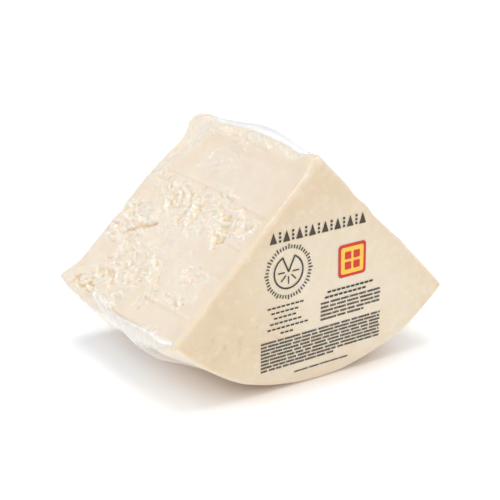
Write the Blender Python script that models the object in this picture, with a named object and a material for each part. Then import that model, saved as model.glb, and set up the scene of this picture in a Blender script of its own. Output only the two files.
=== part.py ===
"""An eighth of a wheel of hard sheep's milk cheese, sealed tight in clear film.

A quarter sector of half the wheel's height rests on its curved heel, with the
wheel's axis (the apex edge of the wedge) on top.  The flat face of the wheel is
at the front, the two knife-cut faces are on the left and right, and the cut
through half the wheel's height is at the back.

The solid is the outer surface of the sealed pack: the cut faces with their
steps, crumbled fields and pits, the swollen left heel, the chipped right edge
and the film that bridges the worn apex edge.
"""
import math

import bmesh
import bpy
import numpy as np

# ---------------------------------------------------------------- sizes, mm
WHEEL_RADIUS = 150.0            # of the whole wheel
CUT_LEFT_DEG = 46.87            # cut faces, from straight down
CUT_RIGHT_DEG = 44.56
DEPTH = 142.0                   # front face to back cut
EDGE_RADIUS = 3.3               # rounding of the left and back edges
SHARP_RADIUS = 2.3              # and of the front edges on the right and at the heel
APEX_RADIUS = 4.5
HEEL_EDGE_RADIUS = 8.0          # left heel edge, where the cheese has swollen
HEEL_SWELL = 7.0                # how far the left heel stands proud of the circle
FLAT_SPOT = 0.30                # pressed flat where it rests
FILM_ARCH = 8.4                 # film bridging the worn apex edge
FILM_BAG = 3.4                  # slack film that hangs below the left heel edge
STEP_ROWS = (48.0, 99.0, 129.5) # knife steps on the left face, mm from the apex
STEP_DROP = 0.55
CRUMB = 0.75                    # relief of the crumbled fields

CELLS_DOWN = 34                 # apex to heel
CELLS_BACK = 34                 # front to back
CELLS_ROUND = 19                # left to right
EDGE_CELL = 1.7                 # cell size along the edges

CREAM = (0.86, 0.77, 0.61, 1.0)
ROUGHNESS = 0.38

A_L = math.radians(CUT_LEFT_DEG)
A_R = math.radians(CUT_RIGHT_DEG)
N_L = np.array([-math.cos(A_L), math.sin(A_L)])     # outward, in x and z
N_R = np.array([math.cos(A_R), math.sin(A_R)])
D_L = np.array([-math.sin(A_L), -math.cos(A_L)])    # apex to heel
D_R = np.array([math.sin(A_R), -math.cos(A_R)])


# ---------------------------------------------------------------- helpers
def ramp(a, b, x):
    """0 before a, 1 after b, smooth in between."""
    t = np.clip((x - a) / (b - a), 0.0, 1.0)
    return t * t * (3.0 - 2.0 * t)


def window(a, b, x, soft):
    return ramp(a - soft, a + soft, x) * (1.0 - ramp(b - soft, b + soft, x))


def bell(x, y, cx, cy, sx, sy, turn=0.0):
    """A soft oval of height 1 at (cx, cy), turned by so many degrees."""
    c, s = math.cos(math.radians(turn)), math.sin(math.radians(turn))
    u = ((x - cx) * c + (y - cy) * s) / sx
    v = (-(x - cx) * s + (y - cy) * c) / sy
    return np.exp(-(u * u + v * v))


def lattice(ix, iy, seed):
    """A repeatable number from -1 to 1 at each lattice point."""
    h = (ix.astype(np.int64) * 374761393 + iy.astype(np.int64) * 668265263
         + seed * 2147483647) & 0xFFFFFFFF
    h = ((h ^ (h >> 13)) * 1274126177) & 0xFFFFFFFF
    h = h ^ (h >> 16)
    return h / 2147483647.5 - 1.0


def bumps(x, y, size, seed):
    """Smooth bumps of the given size, from -1 to 1."""
    u, v = x / size, y / size
    iu, iv = np.floor(u), np.floor(v)
    fu, fv = u - iu, v - iv
    fu, fv = fu * fu * (3 - 2 * fu), fv * fv * (3 - 2 * fv)
    a = lattice(iu, iv, seed)
    b = lattice(iu + 1, iv, seed)
    c = lattice(iu, iv + 1, seed)
    d = lattice(iu + 1, iv + 1, seed)
    return (a * (1 - fu) + b * fu) * (1 - fv) + (c * (1 - fu) + d * fu) * fv


def graded(cells, length, small):
    """Positions of cells + 1 lines over a length, close together at both ends."""
    sizes = np.ones(cells)
    for k, share in enumerate((0.0, 0.12, 0.42, 0.8)):
        sizes[k] = sizes[-1 - k] = share
    free = sizes.sum()
    big = (length - small * cells) / free
    return np.concatenate([[0.0], np.cumsum(small + sizes * big)])


# ---------------------------------------------------------------- form
def sector_point(s, t):
    """Across (s from left to right) and up (t from heel to apex), both 0 to 1."""
    shoulder = 11.0                                   # where the apex strip starts
    span = A_L + A_R

    def heel(q):
        a = -A_L + span * q
        return np.stack([WHEEL_RADIUS * np.sin(a), WHEEL_RADIUS * (1 - np.cos(a))], -1)

    def side(q, d):
        r = WHEEL_RADIUS + (shoulder - WHEEL_RADIUS) * q
        return r[..., None] * d + np.array([0.0, WHEEL_RADIUS])

    def top(q):
        left = np.clip(1.0 - 2.0 * q, 0.0, 1.0)[..., None] * shoulder * D_L
        right = np.clip(2.0 * q - 1.0, 0.0, 1.0)[..., None] * shoulder * D_R
        return left + right + np.array([0.0, WHEEL_RADIUS])

    one = np.ones_like(s)
    S, T = s[..., None], t[..., None]
    corners = ((1 - S) * (1 - T) * heel(0 * one) + S * (1 - T) * heel(one)
               + (1 - S) * T * top(0 * one) + S * T * top(one))
    return ((1 - S) * side(t, D_L) + S * side(t, D_R)
            + (1 - T) * heel(s) + T * top(s) - corners)


def nearest_inside(p, r):
    """The nearest point of the sector drawn in by r, for each point p."""
    c = np.array([0.0, WHEEL_RADIUS])
    q = p - c
    big = WHEEL_RADIUS - r
    out = []
    out.append(q - (q @ N_L + r)[:, None] * N_L)
    out.append(q - (q @ N_R + r)[:, None] * N_R)
    length = np.maximum(np.linalg.norm(q, axis=1), 1e-9)
    out.append(q * (big / length)[:, None])
    # the three corners of the drawn-in sector
    det = N_L[0] * N_R[1] - N_L[1] * N_R[0]
    apex = np.stack([(-r * N_R[1] + r * N_L[1]) / det, (-r * N_L[0] + r * N_R[0]) / det], -1)
    out.append(apex)
    along = np.sqrt(np.maximum(big * big - r * r, 0.0))
    out.append(along[:, None] * D_L - r[:, None] * N_L)
    out.append(along[:, None] * D_R - r[:, None] * N_R)
    best, where = np.full(len(q), 1e18), q.copy()
    inside = (q @ N_L <= -r + 1e-6) & (q @ N_R <= -r + 1e-6) & (length <= big + 1e-6)
    for k in out:
        ok = ((k @ N_L <= -r + 1e-6) & (k @ N_R <= -r + 1e-6)
              & (np.linalg.norm(k, axis=1) <= big + 1e-6))
        d = np.where(ok, np.linalg.norm(k - q, axis=1), 1e18)
        take = d < best
        where[take], best = k[take], np.where(take, d, best)
    where[inside] = q[inside]
    return where + c


def left_relief(r, y):
    """Height of the left cut face over its plane; r from the apex, y from the front."""
    h = np.zeros_like(r)
    a, b, c = STEP_ROWS
    h -= STEP_DROP * ramp(a - 1.5, a + 1.5, r) * window(4, 132, y, 6)
    h += STEP_DROP * 0.8 * ramp(b - 1.5, b + 1.5, r) * window(0, 95, y, 6)
    h -= STEP_DROP * 0.7 * ramp(c - 1.5, c + 1.5, r) * window(4, 75, y, 6)
    fields = np.maximum.reduce([
        bell(r, y, 66, 74, 17, 40), bell(r, y, 90, 121, 19, 22),
        bell(r, y, 118, 90, 18, 28), bell(r, y, 112, 33, 15, 13),
        bell(r, y, 136, 98, 10, 22), bell(r, y, 3, 62, 7, 40) * 0.8])
    grain = bumps(r, y, 9.5, 3) * 0.7 + bumps(r + 4, y, 5.5, 7) * 0.55
    h += CRUMB * fields * grain
    for cr, cy, sr, sy, turn, height in (
            (69, 39, 10, 8, 0, -2.0), (66, 47, 9, 3, 20, 0.9),
            (91, 109, 9, 4.5, 38, -2.4), (84, 112, 6, 9, 20, 1.3),
            (56, 113, 4, 7, 0, 1.0), (64, 98, 9, 5, 20, 0.9), (68, 77, 11, 4, 12, -0.9),
            (60, 60, 4, 10, 0, 0.9), (132, 109, 4.5, 6, 0, -2.2),
            (146, 126, 5.5, 11, 0, -3.6), (124, 32, 4, 8, 0, -1.1),
            (115, 21, 7, 6, 0, 0.5), (111, 54, 9, 10, 0, 0.45)):
        h += height * bell(r, y, cr, cy, sr, sy, turn)
    return h


def right_relief(r, y):
    """The right cut face: two shallow knife steps, crumbled fields and chips."""
    h = -0.5 * ramp(60, 63, r) + 0.4 * ramp(112, 115, r)
    fields = np.maximum.reduce([
        bell(r, y, 52, 60, 16, 30), bell(r, y, 88, 105, 20, 22),
        bell(r, y, 122, 50, 15, 30), bell(r, y, 20, 110, 12, 22)])
    h += CRUMB * fields * (bumps(r, y, 9.0, 21) * 0.7 + bumps(r, y + 3, 5.5, 22) * 0.55)
    for cr, cy, sr, sy, turn, height in (
            (42, 0, 5.5, 16, 0, -1.5), (66, 0, 8, 20, 0, -2.0),
            (92, 96, 8, 6, 30, -2.2), (124, 62, 6, 9, 0, -1.8), (56, 70, 7, 6, 0, 1.0)):
        h += height * bell(r, y, cr, cy, sr, sy, turn)
    return h


def back_relief(x, z):
    """The cut through half the wheel's height: nearly flat, with a torn patch."""
    fields = np.maximum(bell(x, z, -30, 55, 30, 24), bell(x, z, 38, 70, 22, 26))
    h = CRUMB * fields * (bumps(x, z, 9.0, 31) * 0.7 + bumps(x, z, 5.5, 32) * 0.5)
    return h + 0.5 * bumps(x, z, 40.0, 33) - 1.6 * bell(x, z, -34, 60, 8, 6, 20)


def heel_relief(a, y):
    """The heel: slow waves of the rind, in degrees round and mm back."""
    h = 0.55 * bumps(a * 2.6, y, 26.0, 41)
    h += 1.2 * bell(a, 0, -22, 0, 8, 1) + 1.5 * bell(a, 0, 31, 0, 4, 1)
    h -= 0.6 * bell(a, 0, 12, 0, 9, 1)
    rise = HEEL_SWELL * (1.0 - ramp(-46, -24, a)) * ramp(0, 24, y) * (1.0 - ramp(84, 142, y))
    rise += FILM_BAG * np.exp(-((a + 41.9) / 3.3) ** 2) * window(20, 60, y, 11)
    rise += 1.0 * np.exp(-((a + 43.8) / 2.9) ** 2) * window(66, 112, y, 9)
    # nothing stands below the circle where the pack rests
    rest = window(-11, 11, a, 4)
    return h * (1.0 - rest) + rise


def apex_lift(y):
    """Film from the nose at the front, over the worn apex edge, to the lump at the back."""
    arch = FILM_ARCH * np.sin(np.pi * np.clip((y - 16) / 100.0, 0, 1)) ** 0.8
    arch *= (1 - 0.36 * ramp(52, 100, y)) * (0.60 + 0.40 * ramp(18, 46, y))
    nose = 1.4 * np.exp(-((y - 9) / 8.0) ** 2)
    lump = 2.4 * np.exp(-((y - 124) / 10.0) ** 2)
    return 1.2 + arch + nose + lump


def back_edge(r):
    """How far the back cut stands from its plane along the left face."""
    return (1.5 + 4.6 * np.exp(-((r - 8) / 6.0) ** 2) - 2.2 * np.exp(-((r - 24) / 9.0) ** 2)
            + 2.6 * ramp(30, 62, r) - 1.6 * np.exp(-((r - 88) / 3.5) ** 2)
            + 9.2 * ramp(130, 152, r))


def surface(s, v, t):
    """World points in mm for cell positions across, back and up."""
    flat = sector_point(s, t)
    y = v
    q0 = flat - np.array([0.0, WHEEL_RADIUS])
    r0 = np.linalg.norm(q0, axis=1)
    ang = np.degrees(np.arctan2(q0[:, 0], -q0[:, 1]))
    sharp = ramp(-38, -20, ang) * ramp(20, 34, r0) * (1 - ramp(20, 60, y))
    plain = EDGE_RADIUS + (SHARP_RADIUS - EDGE_RADIUS) * sharp
    radius = (plain
              + (APEX_RADIUS - plain) * (1 - ramp(8, 22, r0))
              + (HEEL_EDGE_RADIUS - EDGE_RADIUS) * ramp(120, 140, r0)
              * (1 - ramp(-44, -34, ang)) * ramp(8, 30, y) * (1 - ramp(100, 135, y)))
    core = nearest_inside(flat, radius)
    core_y = np.clip(y, radius, DEPTH - radius)
    out = np.column_stack([flat[:, 0] - core[:, 0], y - core_y, flat[:, 1] - core[:, 1]])
    out /= np.maximum(np.linalg.norm(out, axis=1), 1e-9)[:, None]
    pos = np.column_stack([core[:, 0], core_y, core[:, 1]]) + out * radius[:, None]

    # relief of each face, blended over the rounded edges by the normal
    x, yy, z = pos.T
    qx, qz = x, z - WHEEL_RADIUS
    r = np.hypot(qx, qz)
    a = np.degrees(np.arctan2(qx, -qz))
    radial = np.column_stack([qx, 0 * qx, qz]) / np.maximum(r, 1e-6)[:, None]
    face = {
        "left": out @ np.array([N_L[0], 0, N_L[1]]),
        "right": out @ np.array([N_R[0], 0, N_R[1]]),
        "back": out[:, 1],
        "heel": np.where(r > 60, (out * radial).sum(1), 0.0),
    }
    w = {k: np.clip(f, 0, 1) ** 3 for k, f in face.items()}
    r_left = qx * D_L[0] + qz * D_L[1]
    r_right = qx * D_R[0] + qz * D_R[1]
    h = (w["left"] * left_relief(r_left, yy) + w["right"] * right_relief(r_right, yy)
         + w["back"] * back_relief(x, z) + w["heel"] * heel_relief(a, yy))
    # the swell of the left heel carries the foot of the left face with it
    swell = heel_relief(a, yy) * ramp(122, 150, r) * np.clip(w["left"], 0, 1)
    pos = pos + out * h[:, None] + radial * (swell * (1 - w["heel"]))[:, None]

    # apex edge
    near = np.exp(-(r / 6.5) ** 2)
    pos[:, 2] += apex_lift(yy) * near * ramp(-2, 5, yy)
    # back cut: leans out a little and follows its worn left edge
    deep = ramp(0.55, 1.0, yy / DEPTH)
    leftness = 1.0 - ramp(-44, -8, a)
    leftness = np.where(r < 14, np.maximum(leftness, 1 - ramp(6, 14, r)), leftness)
    pos[:, 1] += deep * leftness * back_edge(np.clip(r, 0, 150))
    pos[:, 1] += deep * (1 - leftness) * 2.0 * ramp(20, 150, r)
    return pos


# ---------------------------------------------------------------- build
for old in list(bpy.data.objects):
    bpy.data.objects.remove(old, do_unlink=True)

collection = bpy.data.collections.new("pecorino_romano")
bpy.context.scene.collection.children.link(collection)

bm = bmesh.new()
bmesh.ops.create_cube(bm, size=1.0)
for axis, cells in ((0, CELLS_ROUND), (1, CELLS_BACK), (2, CELLS_DOWN)):
    along = [e for e in bm.edges
             if abs((e.verts[0].co - e.verts[1].co)[axis]) > 0.5]
    bmesh.ops.subdivide_edges(bm, edges=along, cuts=cells - 1, use_grid_fill=False)

co = np.array([v.co[:] for v in bm.verts])
index = [np.rint((co[:, k] + 0.5) * n).astype(int)
         for k, n in ((0, CELLS_ROUND), (1, CELLS_BACK), (2, CELLS_DOWN))]
arc = WHEEL_RADIUS * (A_L + A_R)
across = graded(CELLS_ROUND, arc, EDGE_CELL * 1.6) / arc
# two of the lengthwise lines bound the flat spot it rests on
edge = math.degrees(math.acos(1 - 0.88 * FLAT_SPOT / WHEEL_RADIUS))
angles = across * (CUT_LEFT_DEG + CUT_RIGHT_DEG) - CUT_LEFT_DEG
first = int(np.argmin(np.abs(angles + edge)))
for line, angle in ((first, -edge), (first + 1, edge)):
    across[line] = (angle + CUT_LEFT_DEG) / (CUT_LEFT_DEG + CUT_RIGHT_DEG)
back = graded(CELLS_BACK, DEPTH, EDGE_CELL)
up = graded(CELLS_DOWN, WHEEL_RADIUS, EDGE_CELL) / WHEEL_RADIUS
points = surface(across[index[0]], back[index[1]], up[index[2]])

points[:, 2] -= FLAT_SPOT
resting = points[:, 2] < 0.02
points[resting, 2] = 0.0
low, high = points.min(0), points.max(0)
shift = np.array([-(low[0] + high[0]) / 2, -(low[1] + high[1]) / 2, 0.0])
print("pack size mm", (high - low).round(2), "shift mm", shift.round(3), "low", low.round(3))
points = (points + shift) * 0.001
for v, p in zip(bm.verts, points):
    v.co = p
bmesh.ops.triangulate(bm, faces=bm.faces[:], quad_method="SHORT_EDGE")
bmesh.ops.recalc_face_normals(bm, faces=bm.faces[:])

mesh = bpy.data.meshes.new("pecorino_pack")
bm.to_mesh(mesh)
print("triangles", len(mesh.polygons), "volume litres", round(bm.calc_volume() * 1000, 4))
bm.free()
mesh.shade_smooth()
pack = bpy.data.objects.new("pecorino_pack", mesh)
collection.objects.link(pack)

cheese = bpy.data.materials.new("sealed_cheese")
cheese.use_nodes = True
skin = cheese.node_tree.nodes["Principled BSDF"]
skin.inputs["Base Color"].default_value = CREAM
skin.inputs["Roughness"].default_value = ROUGHNESS
skin.inputs["Metallic"].default_value = 0.0
mesh.materials.append(cheese)
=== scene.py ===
"""A wedge of hard sheep's milk cheese, sealed tight in clear film.

All sizes below are in millimetres in the wedge's own frame: the wheel's axis
runs along Y at x = 0, z = WHEEL_R, the flat face of the wheel is the plane
y = 0 and the heel touches z = 0.  place() turns them into the model's metres.
"""
import math

import bpy
import numpy as np
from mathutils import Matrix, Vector


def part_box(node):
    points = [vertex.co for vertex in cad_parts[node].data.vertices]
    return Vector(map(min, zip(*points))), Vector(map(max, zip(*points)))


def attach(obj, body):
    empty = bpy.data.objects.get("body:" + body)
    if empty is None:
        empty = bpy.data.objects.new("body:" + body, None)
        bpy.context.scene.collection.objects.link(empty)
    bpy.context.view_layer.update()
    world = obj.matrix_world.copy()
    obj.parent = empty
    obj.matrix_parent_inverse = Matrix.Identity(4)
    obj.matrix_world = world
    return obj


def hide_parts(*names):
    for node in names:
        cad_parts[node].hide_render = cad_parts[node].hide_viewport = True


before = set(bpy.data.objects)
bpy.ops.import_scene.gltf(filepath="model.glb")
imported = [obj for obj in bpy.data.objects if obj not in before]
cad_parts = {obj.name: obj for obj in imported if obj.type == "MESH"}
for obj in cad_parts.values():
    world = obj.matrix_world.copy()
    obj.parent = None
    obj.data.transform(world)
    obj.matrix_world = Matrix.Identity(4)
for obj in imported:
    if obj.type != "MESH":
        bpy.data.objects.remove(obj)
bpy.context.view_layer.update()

NODE = "pecorino_pack"

# ------------------------------------------------------------------ sizes, mm
WHEEL_R = 150.0
LEFT = math.radians(46.87)        # cut faces, from straight down
RIGHT = math.radians(44.56)
DEPTH = 142.0
EDGE_R = 3.3                      # rounding of the left and back edges
SHARP_R = 2.3                     # and of the front edges on the right and at the heel
APEX_R = 4.5
HEEL_EDGE_R = 8.0
FLAT_SPOT = 0.30
CAD_LOW_X = -111.221              # the solid's lowest x in this frame
FILM_GAP = 0.22                   # cheese surface to film surface

N_L = np.array([-math.cos(LEFT), math.sin(LEFT)])
N_R = np.array([math.cos(RIGHT), math.sin(RIGHT)])
D_L = np.array([-math.sin(LEFT), -math.cos(LEFT)])
D_R = np.array([math.sin(RIGHT), -math.cos(RIGHT)])

low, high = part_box(NODE)
SHIFT = np.array([low.x * 1000 - CAD_LOW_X, low.y * 1000, -FLAT_SPOT])


def place(p):
    return (np.asarray(p, float) + SHIFT) * 0.001


# ------------------------------------------------------------------ noise
def ramp(a, b, x):
    t = np.clip((x - a) / (b - a), 0.0, 1.0)
    return t * t * (3.0 - 2.0 * t)


def window(a, b, x, soft):
    return ramp(a - soft, a + soft, x) * (1.0 - ramp(b - soft, b + soft, x))


def scatter(ix, iy, seed):
    """A repeatable number from 0 to 1 at each lattice point."""
    h = (ix.astype(np.int64) * 374761393 + iy.astype(np.int64) * 668265263
         + int(seed) * 974634777) & 0xFFFFFFFF
    h = ((h ^ (h >> 13)) * 1274126177) & 0xFFFFFFFF
    h = ((h ^ (h >> 15)) * 2246822519) & 0xFFFFFFFF
    return (h ^ (h >> 16)) / 4294967295.0


def waves(x, y, size, seed):
    """Smooth gradient noise, about -1 to 1, with bumps of about this size."""
    u, v = x / size, y / size
    iu, iv = np.floor(u), np.floor(v)
    fu, fv = u - iu, v - iv
    su, sv = fu ** 3 * (fu * (fu * 6 - 15) + 10), fv ** 3 * (fv * (fv * 6 - 15) + 10)

    def corner(di, dj):
        a = scatter(iu + di, iv + dj, seed) * 2 * math.pi
        return np.cos(a) * (fu - di) + np.sin(a) * (fv - dj)
    return ((corner(0, 0) * (1 - su) + corner(1, 0) * su) * (1 - sv)
            + (corner(0, 1) * (1 - su) + corner(1, 1) * su) * sv) * 1.5


def rough(x, y, size, seed, octaves=3, gain=0.5):
    total, weight = 0.0, 1.0
    for k in range(octaves):
        total = total + weight * waves(x, y, size / 2 ** k, seed + 17 * k)
        weight *= gain
    return total


def curds(x, y, size, seed, warp=0.45):
    """Rounded lumps with creases between them, 0 to 1."""
    wx = x + warp * size * waves(x, y, size * 1.2, seed + 5)
    wy = y + warp * size * waves(x, y, size * 1.2, seed + 9)
    u, v = wx / size, wy / size
    iu, iv = np.floor(u), np.floor(v)
    best = np.full(np.shape(x), 9.0)
    second = np.full(np.shape(x), 9.0)
    name = np.zeros(np.shape(x))
    for di in (-1, 0, 1):
        for dj in (-1, 0, 1):
            px = iu + di + scatter(iu + di, iv + dj, seed) * 0.9
            py = iv + dj + scatter(iu + di, iv + dj, seed + 1) * 0.9
            d = np.hypot(u - px, v - py)
            nearer = d < best
            second = np.where(nearer, best, np.minimum(second, d))
            name = np.where(nearer, scatter(iu + di, iv + dj, seed + 2), name)
            best = np.where(nearer, d, best)
    crease = np.clip((second - best) / 0.45, 0, 1)
    dome = np.sqrt(np.clip(1.0 - (best / 0.95) ** 2, 0, 1))
    return dome * (0.45 + 0.55 * name) * (1 - (1 - crease) ** 3)


def blurred(h, sigma):
    """Gaussian blur of an array, sigma in cells."""
    if sigma <= 0:
        return h
    pad = int(sigma * 3) + 2
    g = np.pad(h, pad, mode="edge")
    fy = np.fft.fftfreq(g.shape[0])[:, None]
    fx = np.fft.rfftfreq(g.shape[1])[None, :]
    k = np.exp(-2 * (math.pi * sigma) ** 2 * (fy * fy + fx * fx))
    g = np.fft.irfft2(np.fft.rfft2(g) * k, s=g.shape)
    return g[pad:-pad, pad:-pad]


def highest(h, cells):
    """The highest value within so many cells, over a round window."""
    out = h.copy()
    pad = np.pad(h, cells, mode="edge")
    n, m = h.shape
    for i in range(-cells, cells + 1):
        for j in range(-cells, cells + 1):
            if (i or j) and i * i + j * j <= cells * cells + 1:
                np.maximum(out, pad[cells + i:cells + i + n, cells + j:cells + j + m], out)
    return out


def bridged(h, cells, soft):
    """A skin stretched over h: it spans what is narrower than the window."""
    return np.maximum(blurred(-highest(-highest(h, cells), cells), soft), blurred(h, soft))


# ------------------------------------------------------------------ maps of the faces
class Map:
    """Heights and masks over one face, on a square grid in mm."""

    def __init__(self, a, b, step):
        self.a0, self.b0, self.step = a[0], b[0], step
        na, nb = int((a[1] - a[0]) / step) + 1, int((b[1] - b[0]) / step) + 1
        self.A, self.B = np.meshgrid(a[0] + step * np.arange(na),
                                     b[0] + step * np.arange(nb), indexing="ij")
        self.h = np.zeros((na, nb))
        self.crumb = np.zeros((na, nb))
        self.film = None
        self.milk = np.zeros((na, nb))
        self.grey = np.zeros((na, nb))

    def at(self, name, a, b):
        f = getattr(self, name)
        u = np.clip((a - self.a0) / self.step, 0, f.shape[0] - 1.001)
        v = np.clip((b - self.b0) / self.step, 0, f.shape[1] - 1.001)
        i, j = u.astype(int), v.astype(int)
        fu, fv = u - i, v - j
        return ((f[i, j] * (1 - fu) + f[i + 1, j] * fu) * (1 - fv)
                + (f[i, j + 1] * (1 - fu) + f[i + 1, j + 1] * fu) * fv)

    def oval(self, a, b, sa, sb, turn=0.0):
        """Distance from (a, b) in units of the oval's own half widths."""
        c, s = math.cos(math.radians(turn)), math.sin(math.radians(turn))
        da, db = self.A - a, self.B - b
        return np.hypot((da * c + db * s) / sa, (-da * s + db * c) / sb)

    def stroke(self, points, width, ends=0.35, wander=0.55):
        """1 on a smooth line through the points, falling off over width, thinner to the ends."""
        line = smooth_line(points, 0.5)
        out = np.zeros_like(self.h)
        n = len(line)
        reach = width * 3.4
        along = np.arange(n) * 0.5
        seed = int(abs(points[0][0] * 7 + points[0][1] * 13))
        wide = 1 + 0.40 * waves(along, along * 0 + seed, 5.0, seed)
        line = line + wander * np.column_stack([waves(along, along * 0 + 3.1, 4.0, seed + k)
                                                for k in (1, 2)])
        for k, (a, b) in enumerate(line):
            t = k / max(n - 1, 1)
            w = width * wide[k] * (ends + (1 - ends) * math.sin(math.pi * min(max(t, 0.04), 0.96)) ** 0.6)
            i0, i1 = [int(round((q - self.a0) / self.step)) for q in (a - reach, a + reach)]
            j0, j1 = [int(round((q - self.b0) / self.step)) for q in (b - reach, b + reach)]
            i0, j0 = max(i0, 0), max(j0, 0)
            if i1 <= i0 or j1 <= j0:
                continue
            sa, sb = self.A[i0:i1, j0:j1], self.B[i0:i1, j0:j1]
            d2 = ((sa - a) ** 2 + (sb - b) ** 2) / (w * w)
            np.maximum(out[i0:i1, j0:j1], np.exp(-d2), out=out[i0:i1, j0:j1])
        return out


def smooth_line(points, spacing):
    """Points at an even spacing along a smooth curve through the given ones."""
    p = np.array(points, float)
    if len(p) == 2:
        q = p
    else:
        ext = np.vstack([2 * p[0] - p[1], p, 2 * p[-1] - p[-2]])
        parts = []
        for k in range(1, len(ext) - 2):
            t = np.linspace(0, 1, 12, endpoint=False)[:, None]
            a, b, c, d = ext[k - 1], ext[k], ext[k + 1], ext[k + 2]
            parts.append(0.5 * (2 * b + (c - a) * t + (2 * a - 5 * b + 4 * c - d) * t ** 2
                                + (3 * b - a - 3 * c + d) * t ** 3))
        q = np.vstack(parts + [p[-1:]])
    seg = np.linalg.norm(np.diff(q, axis=0), axis=1)
    s = np.concatenate([[0], np.cumsum(seg)])
    n = max(int(s[-1] / spacing), 1) + 1
    at = np.linspace(0, s[-1], n)
    return np.column_stack([np.interp(at, s, q[:, k]) for k in range(q.shape[1])])


def tear(m, zones, seed, depth=1.1, size=9.0):
    """Crumbles the map inside the zones (a, b, half widths, turn, strength)."""
    ragged = rough(m.A, m.B, 9.0, seed, 3, 0.55) * 0.34
    t = np.zeros_like(m.h)
    for a, b, sa, sb, turn, power in zones:
        d = m.oval(a, b, sa, sb, turn) + ragged
        t = np.maximum(t, power * (1 - ramp(0.78, 1.12, d)))
    # the knife leaves winding ridges and curds, drawn out along its way from front to back
    q = size / 9.0
    wa = m.A + q * (2.2 * waves(m.A, m.B, 8.0 * q, seed + 3) + 0.8 * waves(m.A, m.B, 3.6 * q, seed + 5))
    wb = m.B + q * (2.2 * waves(m.A, m.B, 8.0 * q, seed + 4) + 0.8 * waves(m.A, m.B, 3.6 * q, seed + 6))

    def ridge(width, k):
        return np.clip(1 - np.abs(waves(wa, wb * 0.70, width, k)) * 2.0, 0, 1) ** 1.5
    broad = 0.5 + 0.5 * np.clip(1.4 * waves(m.A, m.B, 13.0, seed + 75), -1, 1)
    swing = np.clip(rough(m.A, m.B, 15, seed + 71, 2), -1, 1)
    body = (1.00 * ridge(size, seed + 61) * (0.5 + 0.8 * broad)
            + 0.75 * ridge(0.66 * size, seed + 67) * (1.2 - 0.5 * broad)
            + 0.12 * ridge(0.42 * size, seed + 69)
            + 0.42 * curds(wa, wb * 0.72, 0.75 * size, seed + 31) + 0.55 * swing)
    m.h += t * depth * (body - body.mean() - 0.35)
    m.crumb = np.maximum(m.crumb, np.clip(t, 0, 1))
    return t


def pocket(m, ovals, seed, depth=3.4):
    """A torn hole with curds left standing in it; returns the hole and the painted shade in it."""
    A, B = m.A, m.B
    hole = np.zeros_like(m.h)
    for a, b, sa, sb in ovals:
        d = m.oval(a, b, sa, sb) + 0.30 * waves(A, B, 3.0, seed) + 0.22 * waves(A, B, 6.5, seed + 1)
        hole = np.maximum(hole, 1 - ramp(0.60, 1.20, d))
    left_in = np.clip(curds(A, B, 6.0, seed + 3) + 0.20 * curds(A + 2.0, B, 3.0, seed + 4), 0, 1)
    m.h -= hole * depth * (1 - left_in)
    m.crumb = np.maximum(m.crumb, 0.5 * hole)
    return hole, hole * (0.54 - 0.24 * left_in)


def gather(m, lines):
    """Folds of gathered film: (width, height, milk, points)."""
    for w, height, milk, points in lines:
        line = m.stroke(points, w, 0.5, 0.8)
        m.film += height * line
        m.milk = np.maximum(m.milk, milk * np.minimum(line * 1.7, 1))


def finish_map(m, window_mm=1.1, soft_mm=0.5):
    """The film over the map; how deep each spot lies below its surroundings, for its painted shade, and how far it
    stands above them, for its painted highlight.
    """
    m.film = bridged(m.h, max(int(window_mm / m.step), 1), soft_mm / m.step)
    m.film = np.maximum(m.film, m.h - 0.03)
    m.cavity = np.clip((blurred(m.h, 2.6 / m.step) - m.h) / 1.3, -1, 1)
    m.cavity = np.maximum(m.cavity, 0.62 * np.clip((blurred(m.h, 1.2 / m.step) - m.h) / 0.5, 0, 1))
    m.crest = np.clip((m.h - blurred(m.h, 1.1 / m.step)) / 0.45, 0, 1)
    # where the film is not quite on the crumbled paste it looks hazy
    m.milk = np.maximum(m.milk, 0.15 * blurred(m.crumb * (1 - 0.8 * np.clip(m.cavity, 0, 1)), 0.5 / m.step))


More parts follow.
